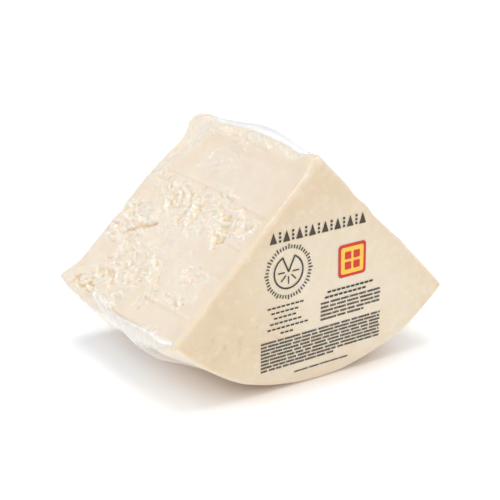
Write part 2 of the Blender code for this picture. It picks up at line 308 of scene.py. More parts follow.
def left_map():
    """The left cut face: a runs down from the apex edge, b runs back from the front."""
    m = Map((-10, 168), (-12, 168), 0.4)
    R, Y = m.A, m.B
    # knife steps between the bands
    first = 50.5 - 3.5 * ramp(20, 70, Y) + 0.25 * waves(R * 0, Y, 9, 2)
    third = 129.5 + 0.7 * waves(R * 0, Y, 12, 4)
    m.h += 0.12 * rough(R * 0.35, Y, 24, 6, 3)
    m.h -= (0.50 + 0.2 * waves(R * 0, Y, 17, 5)) * ramp(-0.8, 0.8, R - first) * ramp(0, 6, Y) * (1 - ramp(126, 136, Y))
    m.h += 0.45 * ramp(-0.6, 0.6, R - 99.0 + 0.3 * waves(R * 0, Y, 15, 3)) * (1 - ramp(84, 100, Y))
    m.h -= 0.55 * ramp(-0.7, 0.7, R - third) * ramp(2, 10, Y) * (1 - ramp(58, 70, Y))
    # fine drag marks of the knife, along its way
    m.h += (0.02 + 0.05 * ramp(90, 130, R)) * waves(R, Y * 0.06, 2.2, 8) + 0.06 * waves(R, Y * 0.10, 5.0, 9)
    # a slight hollow across each band, as the knife leaves it
    m.h -= 0.35 * np.sin(np.pi * np.clip((R - 6) / 42, 0, 1)) ** 2
    # crumbled fields
    tear(m, (
        (64, 69, 14.5, 56, 0, 0.62), (91, 90, 12, 32, 0, 0.30),
        (62, 97, 11, 13, 20, 0.95), (68, 76, 13, 9, 0, 0.85), (58, 113, 6, 9, 0, 0.8),
        (66, 57, 10, 15, 0, 0.55), (66, 38, 13, 12, 0, 0.80), (64, 19, 8.5, 9, 0, 0.75),
        (86, 95, 9, 18, 0, 0.42), (90, 74, 8, 18, 0, 0.33),
        (90, 121, 16, 21, 10, 0.95), (104, 126, 6, 17, 0, 0.8), (77, 66, 7, 16, 0, 0.5), (80, 88, 9, 12, 0, 0.5),
        (117, 90, 14, 27, 0, 1.0), (108, 108, 10, 12, 0, 0.6),
        (106, 34, 8, 10, 0, 0.65), (123, 33, 5, 11, 0, 0.7), (126, 53, 6, 8, 20, 0.7),
        (136, 97, 7, 22, 0, 0.72), (132, 60, 6, 5, 0, 0.4), (144, 117, 8, 15, 0, 0.75),
        (103, 21, 6, 6, 0, 0.4), (52, 124, 4, 14, 0, 0.5)), 11, depth=1.08)
    tear(m, ((2, 64, 7, 48, 0, 0.9), (7, 104, 5, 16, 0, 0.8), (1, 137, 10, 12, 0, 0.8),
             (28, 138, 30, 7, 0, 0.5), (50, 134, 10, 9, 0, 0.5)), 19, depth=0.62, size=7.4)
    # what lies deeper or stands proud: (a, b, half widths, turn, height, sharpness)
    for a, b, sa, sb, turn, height, crisp in (
            (60, 43, 3.6, 5.5, 10, -1.3, 0.4), (71, 36, 8.0, 5.0, 0, -1.8, 0.4),
            (80, 33, 4.0, 2.6, 0, -1.5, 0.4), (56, 35, 3.2, 4.5, 0, 0.9, 0.5),
            (70, 46, 7.0, 2.6, 0, 0.9, 0.5), (75, 33, 3.0, 2.4, 0, -1.2, 0.4),
            (64, 98, 8.5, 4.0, 14, -1.3, 0.5), (66, 95, 3.2, 2.2, 0, 1.1, 0.5),
            (55, 113, 3.4, 5.0, 20, 1.2, 0.5), (61, 78, 5.0, 4.4, 0, 1.0, 0.5),
            (73, 74, 7.0, 4.6, 0, 0.9, 0.5), (78, 108, 6.0, 4.2, -30, 0.7, 0.6),
            (85, 113, 3.2, 6.5, -30, 0.9, 0.6), (84, 105, 2.6, 4.0, -20, 0.8, 0.6),
            (131, 113, 3.0, 5.0, 0, -1.7, 0.5), (129, 104, 2.2, 5.0, 0, -1.5, 0.5),
            (133, 97, 2.0, 4.0, 0, -1.2, 0.4),
            (112, 54, 8.5, 9.0, 30, 0.40, 0.22), (115, 22, 7.0, 5.8, -15, 0.45, 0.25),
            (112, 11, 8.0, 4.0, 0, -0.30, 0.3), (4, 29, 2.4, 2.8, 0, -1.3, 0.5),
            (12, 79, 2.0, 6.5, 18, 0.34, 0.7), (26, 72, 1.8, 8.0, 28, 0.30, 0.8),
            (27, 87, 1.7, 9.0, 38, 0.26, 0.8), (44, 66, 1.8, 3.6, 20, 0.42, 0.7),
            (43, 58, 1.7, 4.6, -10, 0.42, 0.7), (28, 61, 1.5, 5.0, 20, 0.36, 0.7),
            (46, 51, 1.5, 6.5, 10, 0.50, 0.7), (47, 27, 1.5, 4.0, 0, 0.35, 0.7),
            (91, 47, 1.8, 2.8, 20, -0.8, 0.5), (8, 100, 3.5, 6.0, 0, 0.6, 0.5),
            (122, 68, 3.0, 5.0, 10, 0.9, 0.5), (113, 70, 3.0, 4.0, 0, 0.9, 0.5)):
        d = m.oval(a, b, sa, sb, turn) + 0.30 * waves(R, Y, 3.0, 90) + 0.22 * waves(R, Y, 6.5, 91)
        m.h += 0.75 * height * (1 - ramp(1.0 - crisp, 1.0 + crisp, d))
    # edges of flakes and cracks: (width, height, points)
    for w, height, points in (
            (1.7, -1.0, ((56, 103), (57, 99), (61, 95), (67, 93), (71, 95))),
            (1.8, -0.9, ((55, 92), (60, 86), (64, 82), (69, 81), (76, 83), (80, 79))),
            (2.0, 0.8, ((56, 97), (59, 91), (64, 87), (70, 86), (75, 88))),
            (1.8, -1.0, ((56, 81), (57, 77), (62, 74), (65, 70), (71, 69), (79, 70))),
            (1.9, 0.7, ((58, 85), (64, 78), (70, 76))),
            (1.6, -0.8, ((52, 119), (57, 114), (58, 108), (63, 103), (71, 101))),
            (2.5, -2.6, ((85, 99.5), (88, 104), (91, 110), (95, 116), (99, 121))),
            (1.8, -0.9, ((98, 138), (98, 130), (101, 124), (101, 117))),
            (1.6, 0.7, ((102, 137), (102, 130), (105, 124))),
            (1.9, 0.6, ((121, 41), (120, 34), (121, 30), (124, 26), (127, 24))),
            (1.7, -0.45, ((124, 42), (123, 35), (124, 30), (127, 26), (129, 24))),
            (1.6, -0.7, ((107, 64), (114, 61), (119, 57), (122, 53), (128, 51))),
            (1.6, -0.8, ((106, 78), (105, 70), (106, 65))),
            (1.5, -0.9, ((130, 60), (134, 57), (137, 58))),
            (1.5, 0.7, ((128, 62), (132, 59), (135, 56))),
            (1.8, 0.9, ((62, 50), (57, 45), (56, 38), (53, 33), (56, 29), (63, 29))),
            (1.8, -1.0, ((63, 29), (70, 28.5), (77, 30))),
            (1.8, 1.0, ((60, 12), (66, 14), (69, 19), (68, 25))),
            (1.7, 0.9, ((55, 10), (56, 17), (60, 22), (66, 24))),
            (1.6, -0.8, ((57, 24), (62, 20), (61, 14))),
            (1.6, 0.6, ((54, 70), (58, 60), (58, 52))),
            (1.8, 0.8, ((62, 68), (67, 60), (64, 52))),
            (1.3, 0.75, ((48, 60), (47, 52), (46, 44))),
            (1.2, 0.65, ((44, 67), (45, 61), (47, 55))),
            (1.1, 0.55, ((42.5, 60), (44, 56), (43, 51))),
            (1.2, 0.60, ((17, 88), (14, 82), (12, 77), (10, 72))),
            (1.1, 0.50, ((12, 85), (10, 79), (9, 74))),
            (1.1, 0.45, ((17, 80), (15, 75), (15, 70))),
            (1.2, 0.55, ((34, 98), (31, 92), (29, 86), (26, 80), (24, 76))),
            (1.1, 0.50, ((36, 89), (33, 84), (31, 79))),
            (1.0, 0.45, ((28, 92), (25, 87), (24, 83))),
            (1.1, 0.50, ((30, 72), (28, 67), (28, 62))),
            (1.0, 0.35, ((22, 103), (30, 101), (38, 103))),
            (1.0, 0.40, ((21, 97), (24, 99), (28, 98))),
            (1.1, -0.35, ((18, 84), (18.6, 72), (18.2, 60))),
            (1.1, 0.35, ((30, 92), (26, 84), (24, 74), (23, 69))),
            (1.1, 0.30, ((31, 100), (27, 104), (22, 106))),
            (1.2, -0.5, ((76, 34), (77, 22), (77.5, 6))),
            (1.1, 0.22, ((96, 64), (93, 52), (88, 42), (84, 36))),
            (1.8, 0.9, ((3, 68), (5, 62), (6, 58))),
            (1.8, 0.9, ((5, 57), (8, 50), (8, 47))),
            (1.7, 0.8, ((3, 47), (4, 42), (6, 38))),
            (1.8, 0.8, ((2, 80), (5, 74), (4, 70))),
            (1.6, -0.5, ((9, 96), (8, 80), (10, 66), (10, 50)))):
        scuff = w < 1.35 and points[0][0] < 50
        line = m.stroke(points, 1.35 * w if scuff else w)
        if scuff:      # broken up into dabs
            line = 1.45 * line * np.clip(0.50 + 1.3 * waves(R, Y, 4.8, 88), 0, 1)
        m.h += 0.76 * height * line
    # streaks along the band under the apex edge
    m.h += 0.10 * waves(R, Y * 0.05, 2.6, 98) * window(7, 19, R, 2) * window(12, 112, Y, 8)
    # a torn pocket near the foot of the face
    hole, dark = pocket(m, ((144.5, 124, 4.8, 5.0), (143.5, 117, 5.4, 5.6), (145.5, 109, 4.6, 4.6), (138.5, 113, 3.4, 4.8)), 93, 1.9)
    # the band next to the front edge is pressed smooth
    calm = 1 - ramp(4, 12, Y)
    m.h *= 1 - 0.92 * calm
    m.crumb *= 1 - 0.9 * calm
    finish_map(m)
    # painted shade in the pocket's hollow
    m.cavity = np.maximum(m.cavity, dark)
    m.milk *= 1 - hole
    # a web of film spans from the back lump down the face
    centre = 113 + 20 * (np.clip(R, 0, 80) / 48.0) ** 0.8
    half = np.interp(R[:, 0], (0, 48, 80), (5.0, 1.7, 1.2))[:, None]
    fade = (1 - ramp(34, 66, R)) * ramp(-9, -3, R)
    across = (Y - centre) / half
    web = np.exp(-across ** 4) * fade
    rim = (np.exp(-((np.abs(across) - 1) * half / 0.55) ** 2)) * fade
    smooth = blurred(m.film, 3.0 / m.step)
    m.film += web * (smooth + 0.40 - m.film) * 0.8
    m.milk = np.maximum(m.milk, 0.44 * web + 0.03 * rim)
    m.grey = np.maximum(m.grey, 0.55 * web)
    dull = (window(22, 94, Y, 14) * window(17, 43, R, 5)
            + 0.8 * window(36, 92, Y, 10) * window(82, 97, R, 4)) * (0.75 + 0.5 * rough(R, Y, 22, 99, 2))
    m.milk = np.maximum(m.milk, 0.085 * np.clip(dull, 0, 1.2))
    m.grey = np.maximum(m.grey, 0.60 * np.clip(dull, 0, 1) * (1 - web))
    crease = m.stroke(((146, 148), (136, 133), (128, 117), (120, 108)), 1.1)
    m.film += 0.25 * crease
    m.milk = np.maximum(m.milk, 0.18 * crease)
    return m


def right_map():
    """The right cut face, from another pass of the knife."""
    m = Map((-10, 168), (-12, 168), 0.4)
    A, B = m.A, m.B
    m.h += 0.12 * rough(A * 0.35, B, 24, 211, 3)
    for a, height in ((49.5 + 2.5 * ramp(30, 100, B), -0.55), (101.0, 0.50)):
        m.h += height * ramp(-0.8, 0.8, A - a + 0.35 * waves(A * 0, B, 15, 212)) * (1 - ramp(122, 134, B))
    m.h += (0.02 + 0.05 * ramp(90, 130, A)) * waves(A, B * 0.06, 2.2, 213) + 0.06 * waves(A, B * 0.10, 5.0, 214)
    m.h -= 0.30 * np.sin(np.pi * np.clip((A - 6) / 42, 0, 1)) ** 2
    tear(m, (
        (61, 62, 11, 52, 0, 0.60), (92, 84, 12, 40, 0, 0.32),
        (58, 44, 11, 14, 15, 0.95), (64, 80, 12, 12, 0, 0.85), (56, 104, 8, 10, 0, 0.7), (66, 24, 8, 9, 0, 0.7),
        (90, 108, 14, 18, -10, 0.95), (80, 122, 7, 12, 0, 0.7), (82, 60, 9, 16, 0, 0.45), (94, 38, 7, 10, 0, 0.6),
        (120, 62, 13, 28, 0, 1.0), (112, 88, 9, 12, 0, 0.6), (136, 66, 7, 20, 0, 0.7), (126, 104, 6, 12, 0, 0.65),
        (140, 124, 9, 14, 0, 0.8), (110, 22, 6, 6, 0, 0.4)), 214)
    tear(m, ((3, 62, 7, 47, 0, 0.8), (8, 106, 6, 15, 0, 0.7), (24, 136, 24, 8, 0, 0.5)), 219, depth=0.62, size=7.4)
    for a, b, sa, sb, turn, height in (
            (54, 72, 6, 5, 0, 0.8), (100, 112, 5, 7, 0, 0.9), (118, 44, 4, 6, 0, 0.9),
            (60, 54, 5, 4, 0, -1.3), (124, 62, 4, 6, 0, -1.5), (46, 34, 6, 8, 0, 0.3),
            (70, 90, 4, 5, 0, -1.0), (134, 84, 3, 5, 0, -1.2)):
        d = m.oval(a, b, sa, sb, turn) + 0.30 * waves(A, B, 3.0, 231) + 0.22 * waves(A, B, 6.5, 232)
        m.h += 0.8 * height * (1 - ramp(0.5, 1.5, d))
    for w, height, points in (
            (1.8, -1.0, ((50, 36), (54, 44), (58, 50), (66, 49))),
            (2.4, -2.3, ((84, 114), (89, 107), (96, 101), (103, 97))),
            (1.8, 0.9, ((50, 80), (54, 74), (60, 71), (68, 74))),
            (1.7, -0.9, ((116, 38), (122, 46), (129, 50), (136, 47))),
            (1.8, 0.8, ((112, 72), (118, 65), (126, 62))),
            (1.8, 0.8, ((54, 62), (58, 56), (66, 58))),
            (1.6, -0.8, ((52, 98), (57, 91), (64, 88), (71, 91))),
            (1.7, 0.7, ((84, 100), (88, 92), (95, 88))),
            (1.6, -0.8, ((118, 84), (124, 78), (128, 70))),
            (1.2, 0.55, ((22, 44), (25, 52), (29, 60))), (1.1, 0.45, ((34, 84), (31, 77), (31, 70))),
            (1.1, -0.35, ((18, 22), (18.6, 46), (18, 70))), (1.2, 0.60, ((46, 34), (47, 44), (45, 54)))):
        m.h += 0.76 * height * m.stroke(points, w)
    hole, dark = pocket(m, ((143, 125, 4.4, 6.0), (141, 116, 3.2, 4.4)), 241, 2.8)
    # the chips that notch its front edge, and the press of the knife beside it
    calm = 1 - ramp(3, 9, B)
    m.h *= 1 - 0.88 * calm
    m.crumb *= 1 - 0.85 * calm
    for a, sa, depth, back in ((38.0, 2.2, 0.6, 10), (42.5, 6.0, 1.1, 14), (63.5, 3.0, 1.3, 12),
                               (69.0, 7.5, 1.25, 18), (52, 4.5, -0.55, 9), (97, 9, -0.35, 12)):
        m.h -= depth * np.exp(-((A - a) / sa) ** 2) * (1 - ramp(back * 0.4, back, B))
    m.h += 0.6 * (window(8, 34, A, 6) + window(88, 142, A, 8)) * (1 - ramp(8, 45, B))
    finish_map(m)
    # painted shade in the pocket's hollow
    m.cavity = np.maximum(m.cavity, dark)
    m.milk *= 1 - hole
    # film drawn from the back lump, and gathered at the heel's rear corner
    gather(m, ((2.4, 0.5, 0.40, ((-4, 119), (12, 124), (30, 130), (46, 134))),
               (1.9, 0.6, 0.85, ((150, 74), (147.5, 90), (146.5, 104), (147.5, 118), (150, 130))),
               (1.3, 0.5, 0.60, ((148, 88), (144, 98), (141.5, 106))),
               (1.2, 0.5, 0.55, ((148.5, 108), (145.0, 117), (142.5, 126)))))
    m.grey = np.maximum(m.grey, 0.55 * m.stroke(((-4, 119), (12, 124), (30, 130), (46, 134)), 3.0))
    return m


def back_grid():
    """The cut through half the wheel's height: a is x + 120, b is z."""
    m = Map((0, 240), (-6, 168), 0.5)
    A, B = m.A, m.B
    m.h = 0.3 * rough(A, B, 40, 331, 3)
    tear(m, (
        (112, 64, 66, 27, 0, 0.36), (95, 62, 34, 22, 10, 0.85), (158, 76, 24, 20, 0, 0.8), (118, 26, 32, 10, 0, 0.6),
        (60, 46, 18, 13, 0, 0.65), (124, 112, 15, 13, 0, 0.6), (196, 52, 18, 11, 0, 0.7),
        (130, 92, 20, 10, -20, 0.55)), 341)
    for w, height, points in (
            (2.2, -1.9, ((78, 58), (88, 65), (98, 64), (108, 70))),
            (1.8, 0.9, ((84, 72), (96, 74), (108, 80))),
            (1.7, 0.8, ((96, 50), (104, 54), (114, 52))),
            (2.0, -1.6, ((150, 66), (158, 72), (164, 80))),
            (1.7, 0.8, ((156, 62), (166, 68), (172, 76))),
            (1.6, -0.9, ((108, 30), (118, 26), (130, 28))),
            (1.6, 0.7, ((54, 52), (62, 48), (70, 50))),
            (1.1, 0.4, ((84, 100), (100, 104), (118, 100))),
            (1.1, -0.4, ((140, 40), (160, 44), (178, 52)))):
        m.h += 0.85 * height * m.stroke(points, w)
    for a, b, sa, sb, turn, height in (
            (92, 58, 6, 4, 20, -1.2), (104, 66, 6, 5, 0, 0.9), (160, 80, 5, 4, 0, -1.2),
            (120, 90, 4, 3, 0, -0.8), (150, 30, 5, 3, 0, -0.8), (136, 96, 6, 4, 0, 0.7)):
        d = m.oval(a, b, sa, sb, turn) + 0.30 * waves(A, B, 3.0, 345) + 0.22 * waves(A, B, 6.5, 346)
        m.h += 0.8 * height * (1 - ramp(0.5, 1.5, d))
    hole, dark = pocket(m, ((72, 60, 6.0, 4.4), (66, 55, 4.6, 3.8)), 351, 2.4)
    finish_map(m)
    # painted shade in the pocket's hollow
    m.cavity = np.maximum(m.cavity, dark)
    m.milk *= 1 - hole
    # creases of the film, fanning out from the apex lump and the heel's corner
    gather(m, ((1.4, 0.35, 0.30, ((119, 152), (112, 128), (100, 104), (92, 86))),
               (1.2, 0.30, 0.24, ((122, 150), (133, 128), (146, 108))),
               (1.3, 0.35, 0.40, ((219, 44), (206, 50), (190, 52))),
               (1.2, 0.35, 0.34, ((221, 43), (208, 38), (196, 30)))))
    return m


def front_grid():
    """The flat face of the wheel, smooth under taut film: a is x + 120, b is z."""
    m = Map((0, 240), (-6, 168), 0.8)
    A, B = m.A, m.B
    m.h = 0.22 * rough(A, B, 46, 401, 2) + 0.05 * rough(A, B, 9, 403, 2)
    for a, b, s, depth in ((38, 47, 2.2, 0.35), (47, 40, 2.6, 0.3), (72, 48, 2.0, 0.25),
                           (163, 97, 2.0, 0.3), (130, 95, 1.8, 0.2)):
        m.h -= depth * np.exp(-m.oval(a, b, s, s) ** 2)
    finish_map(m, 0.8, 0.8)
    return m


def heel_grid():
    """The heel: a is mm round from the left edge, b runs back."""
    m = Map((-14, 256), (-12, 168), 0.8)
    A, B = m.A, m.B
    m.h = 0.45 * rough(A, B, 34, 501, 2) + 0.14 * rough(A, B, 7.5, 503, 3)
    for a, b, s, depth in ((60, 40, 3, 0.7), (96, 100, 4, 0.6), (170, 60, 3.5, 0.7),
                           (200, 110, 3, 0.6), (130, 126, 2.5, 0.5)):
        m.h -= depth * np.exp(-m.oval(a, b, s, s * 1.4) ** 2)
    finish_map(m, 1.6, 1.0)
    gather(m, ((2.2, 0.8, 0.85, ((236.5, 72), (234, 88), (233, 104), (234, 118), (237, 132))),
               (1.4, 0.6, 0.55, ((232, 80), (226, 92), (222, 106))),
               (1.4, 0.6, 0.50, ((231, 112), (226, 122), (219, 130))),
               (1.3, 0.5, 0.35, ((228, 70), (221, 74), (212, 76)))))
    haze = ramp(222, 232, A) * window(76, 128, B, 9)
    m.milk = np.maximum(m.milk, 0.26 * haze * (0.7 + 0.5 * np.clip(waves(A, B * 0.3, 2.6, 507), -1, 1)))
    return m


def fold_map():
    """Gathered film along the left heel edge: a is mm from the apex over the edge, b runs back."""
    m = Map((118, 214), (-8, 166), 0.35)
    S, Y = m.A, m.B
    lines = (
        # width, height, milk, points from back to front
        (2.0, 1.2, 1.00, ((143, 103), (148.0, 95.5), (151, 88), (153.5, 79), (155, 71.5))),
        (1.3, 0.9, 0.95, ((141.5, 97), (144, 88.5), (149.0, 81), (152.5, 74), (154.5, 69.5))),
        (1.0, 0.7, 0.80, ((140.8, 92), (144.5, 80), (150, 73), (152.5, 69))),
        (3.4, 1.2, 1.00, ((150.0, 71), (151.5, 66.5), (152.5, 62))),
        (2.0, 0.9, 1.00, ((149.5, 66), (147.6, 56), (146.8, 47), (145.8, 37), (145.2, 29),
                          (144.8, 21.5), (146.2, 13), (147.8, 6))),
        (1.9, 0.9, 0.95, ((153.5, 63), (151.8, 52), (151, 41), (148.5, 31), (146.0, 21))),
        (1.5, 0.7, 0.80, ((156, 62), (156.0, 50), (154.8, 39), (152.0, 26), (150, 17), (149, 9))),
        (0.9, 0.5, 0.45, ((140.4, 35.5), (143.5, 37.5))),
        (0.9, 0.5, 0.45, ((139.2, 25.5), (142.5, 28.5))),
        (1.3, 0.6, 0.35, ((158, 92), (161, 80), (163, 66), (163, 52), (160, 36))),
        (1.3, 0.6, 0.30, ((166, 100), (170, 80), (172, 60), (169, 40))),
        (1.2, 0.5, 0.28, ((150, 118), (156, 112), (163, 108), (172, 106))),
        (1.3, 0.6, 0.32, ((148, 134), (155, 126), (160, 116), (164, 104))))
    for w, height, milk, points in lines:
        line = m.stroke(points, w, 0.5, 0.8)
        m.h += 0.50 * height * line
        m.milk = np.maximum(m.milk, milk * np.minimum(line * 2.0, 1))
    # between the folds the film is hazy
    low_edge = np.interp(Y[0], (0, 10, 25, 40, 62, 72, 86, 100), (150, 151, 153.5, 156, 156.8, 156.8, 154.5, 148.5))
    top_edge = np.interp(Y[0], (0, 13, 30, 47, 65, 72, 86, 100), (147, 145.5, 144, 146, 149, 150, 145.5, 143.5))
    band = ramp(-1.0, 1.0, S - top_edge) * (1 - ramp(-1.5, 1.5, S - low_edge)) * window(4, 98, Y, 3)
    ripples = 0.5 + 0.5 * np.clip(waves(S + 0.15 * Y, Y * 0.22, 2.4, 601), -1, 1)
    m.milk = np.maximum(m.milk, band * (0.58 + 0.42 * ripples))
    m.h += band * 0.26 * ripples
    under = ramp(148, 156, S) * (1 - ramp(176, 196, S)) * window(10, 108, Y, 10)
    m.milk = np.maximum(m.milk, 0.15 * under * (0.7 + 0.5 * ripples))
    m.h += under * 0.22 * (1 - np.abs(waves(S * 0.45, Y, 6.5, 603))) ** 3
    m.h = blurred(m.h, 2.6)
    m.milk = blurred(m.milk, 2.1)
    return m


MAPS = {"left": left_map(), "right": right_map(), "back": back_grid(),
        "front": front_grid(), "heel": heel_grid()}
FOLDS = fold_map()


# ------------------------------------------------------------------ the wedge's form
def graded(cells, length, small, shares=(0.0, 0.15, 0.45, 0.8)):
    """Positions of cells + 1 lines over a length, close together at both ends."""
    sizes = np.ones(cells)
    for k, share in enumerate(shares):
        sizes[k] = sizes[-1 - k] = share
    big = (length - small * cells) / sizes.sum()
    return np.concatenate([[0.0], np.cumsum(small + sizes * big)])


def even_split(lines, parts):
    """More lines, each cell cut into so many equal parts."""
    n = len(lines) - 1
    return np.interp(np.arange(n * parts + 1) / parts, np.arange(n + 1), lines)


def box_sides(nx, ny, nz):
    """The six sides of a block of cells: lattice points in 2-D arrays, seen from outside."""
    def side(axis, value, flip):
        n = (nx, ny, nz)
        others = [k for k in range(3) if k != axis]
        I, J = np.meshgrid(*[np.arange(n[k] + 1) for k in others], indexing="ij")
        p = np.empty(I.shape + (3,), int)
        p[..., axis], p[..., others[0]], p[..., others[1]] = value, I, J
        return p, flip
    return [side(2, 0, True), side(2, nz, False), side(1, 0, False), side(1, ny, True),
            side(0, 0, True), side(0, nx, False)]


def refined(cells, levels, shape, budget):
    """A closed mesh over a block of cells, with small faces only where the shape needs them.

    cells: coarse cells along each axis; shape: lattice points to positions, and to
    whatever else is to be followed closely.
    Returns the lattice points used, quads, triangles and the normals there."""
    f = 2 ** levels
    n = [c * f for c in cells]
    code = lambda p: (p[..., 0] * (n[1] + 1) + p[..., 1]) * (n[2] + 1) + p[..., 2]
    sides = box_sides(*n)
    keys = np.unique(np.concatenate([code(p).ravel() for p, _ in sides]))
    lattice = np.column_stack([keys // ((n[1] + 1) * (n[2] + 1)),
                               keys // (n[2] + 1) % (n[1] + 1), keys % (n[2] + 1)])
    pos = shape(lattice)
    ids = [np.searchsorted(keys, code(p)) for p, _ in sides]

    normals = np.zeros((len(pos), 3))
    for a, (_, flip) in zip(ids, sides):
        P = pos[a][..., :3]
        n_ = np.cross(np.gradient(P, axis=0), np.gradient(P, axis=1)) * (-1 if flip else 1)
        normals[a] += n_ / np.maximum(np.linalg.norm(n_, axis=-1, keepdims=True), 1e-9)
    normals /= np.maximum(np.linalg.norm(normals, axis=1, keepdims=True), 1e-9)

    # how far the true shape lies from a flat cell, at every level
    errors = []
    for a in ids:
        P = pos[a]
        per_level = []
        for level in range(levels - 1, -1, -1):
            st = f >> level
            h = st // 2
            c00, c10, c01, c11 = P[:-1:st, :-1:st], P[st::st, :-1:st], P[:-1:st, st::st], P[st::st, st::st]
            e = np.linalg.norm(P[h::st, h::st] - (c00 + c10 + c01 + c11) / 4, axis=-1)
            e = np.maximum(e, np.linalg.norm(P[h::st, :-1:st] - (c00 + c10) / 2, axis=-1))
            e = np.maximum(e, np.linalg.norm(P[h::st, st::st] - (c01 + c11) / 2, axis=-1))
            e = np.maximum(e, np.linalg.norm(P[:-1:st, h::st] - (c00 + c01) / 2, axis=-1))
            e = np.maximum(e, np.linalg.norm(P[st::st, h::st] - (c10 + c11) / 2, axis=-1))
            if per_level:
                k = per_level[-1]
                kids = np.maximum(np.maximum(k[::2, ::2], k[1::2, ::2]),
                                  np.maximum(k[::2, 1::2], k[1::2, 1::2]))
                e = np.maximum(e, kids)
            per_level.append(e)
        errors.append(per_level[::-1])

    def leaves(tolerance):
        """For each side and level, the cells that are kept whole."""
        found = []
        for per_level in errors:
            alive = np.ones_like(per_level[0], bool)
            rows = []
            for level in range(levels):
                split = alive & (per_level[level] > tolerance)
                rows.append(np.argwhere(alive & ~split))
                alive = np.repeat(np.repeat(split, 2, 0), 2, 1)
            rows.append(np.argwhere(alive))
            found.append(rows)
        return found

    def triangles(found):
        return sum(2.25 * len(rows) for per_side in found for rows in per_side)

    low_t, high_t = 0.002, 1.0
    for _ in range(14):
        mid_t = math.sqrt(low_t * high_t)
        if triangles(leaves(mid_t)) > budget:
            low_t = mid_t
        else:
            high_t = mid_t
    found = leaves(high_t)

    used = np.zeros(len(pos), bool)
    rings = []
    for a, (_, flip), per_side in zip(ids, sides, found):
        for level, rows in enumerate(per_side):
            if not len(rows):
                continue
            st = f >> level
            k = np.arange(st)
            du = np.concatenate([k, np.full(st, st), st - k, np.zeros(st, int)])
            dv = np.concatenate([np.zeros(st, int), k, np.full(st, st), st - k])
            u, v = rows[:, :1] * st, rows[:, 1:] * st
            ring = a[u + du, v + dv]
            if flip:
                ring = np.concatenate([ring[:, :1], ring[:, :0:-1]], 1)
            centre = a[u[:, 0] + st // 2, v[:, 0] + st // 2]
            used[ring[:, ::st]] = True
            rings.append((ring, centre, st))
    corner = used.copy()
    quads, tris = [], []
    for ring, centre, st in rings:
        on = corner[ring]
        plain = on.sum(1) == 4
        quads.append(ring[plain][:, ::st])
        for r_, o_, c_ in zip(ring[~plain], on[~plain], centre[~plain]):
            loop = r_[o_]
            tris.append(np.column_stack([loop, np.roll(loop, -1), np.full(len(loop), c_)]))
            used[c_] = True
    quads = np.vstack(quads)
    tris = np.vstack(tris) if tris else np.zeros((0, 3), int)
    new = np.cumsum(used) - 1
    print("mesh", len(quads) * 2 + len(tris), "triangles, tolerance", round(high_t, 4))
    return lattice[used], new[quads], new[tris], normals[used]


def sector_point(s, t):
    shoulder = 11.0
    span = LEFT + RIGHT
    top_z = np.array([0.0, WHEEL_R])

    def heel(q):
        a = -LEFT + span * q
        return np.stack([WHEEL_R * np.sin(a), WHEEL_R * (1 - np.cos(a))], -1)

    def side(q, d):
        r = WHEEL_R + (shoulder - WHEEL_R) * q
        return r[..., None] * d + top_z

    def top(q):
        a = np.clip(1.0 - 2.0 * q, 0.0, 1.0)[..., None] * shoulder * D_L
        b = np.clip(2.0 * q - 1.0, 0.0, 1.0)[..., None] * shoulder * D_R
        return a + b + top_z

    one = np.ones_like(s)
    S, T = s[..., None], t[..., None]
    corners = ((1 - S) * (1 - T) * heel(0 * one) + S * (1 - T) * heel(one)
               + (1 - S) * T * top(0 * one) + S * T * top(one))
    return ((1 - S) * side(t, D_L) + S * side(t, D_R)
            + (1 - T) * heel(s) + T * top(s) - corners)


def nearest_inside(p, r):
    c = np.array([0.0, WHEEL_R])
    q = p - c
    big = WHEEL_R - r
    length = np.maximum(np.linalg.norm(q, axis=1), 1e-9)
    det = N_L[0] * N_R[1] - N_L[1] * N_R[0]
    along = np.sqrt(np.maximum(big * big - r * r, 0.0))
    options = [
        q - (q @ N_L + r)[:, None] * N_L,
        q - (q @ N_R + r)[:, None] * N_R,
        q * (big / length)[:, None],
        np.stack([(-r * N_R[1] + r * N_L[1]) / det, (-r * N_L[0] + r * N_R[0]) / det], -1),
        along[:, None] * D_L - r[:, None] * N_L,
        along[:, None] * D_R - r[:, None] * N_R,
    ]
    inside = (q @ N_L <= -r + 1e-6) & (q @ N_R <= -r + 1e-6) & (length <= big + 1e-6)
    best, where = np.full(len(q), 1e18), q.copy()
    for k in options:
        ok = ((k @ N_L <= -r + 1e-6) & (k @ N_R <= -r + 1e-6)
              & (np.linalg.norm(k, axis=1) <= big + 1e-6))
        d = np.where(ok, np.linalg.norm(k - q, axis=1), 1e18)
        take = d < best
        where[take], best = k[take], np.where(take, d, best)
    where[inside] = q[inside]
    return where + c


def swell(a, y, height):
    """The left heel bulges out behind the front face."""
    return height * (1.0 - ramp(-46, -24, a)) * ramp(0, 24, y) * (1.0 - ramp(84, 142, y))


def round_out(a):
    """The heel's own unevenness, as the front outline shows it."""
    g = lambda c, s: np.exp(-((a - c) / s) ** 2)
    return (1.2 * g(-22, 8) + 1.5 * g(31, 4) - 0.6 * g(12, 9)) * (1 - window(-11, 11, a, 4))


def apex_cheese(y):
    """The worn apex edge: a nose at the front, a dip behind it and a crumbled ridge."""
    g = lambda c, s: np.exp(-((y - c) / s) ** 2)
    ridge = 2.6 * ramp(22, 50, y) * (1 - ramp(100, 116, y)) + 1.2 * g(76, 14)
    return 2.4 * g(9, 7.5) + ridge + 2.5 * g(126, 10)


def apex_film(y):
    """Film spans from the nose to the back lump."""
    arch = 8.4 * np.sin(np.pi * np.clip((y - 16) / 100.0, 0, 1)) ** 0.80 * (1 - 0.36 * ramp(52, 100, y))
    arch *= 0.60 + 0.40 * ramp(18, 46, y)
    g = lambda c, s: np.exp(-((y - c) / s) ** 2)
    return 1.2 + arch + 1.4 * g(9, 8) + 2.0 * g(122, 9)


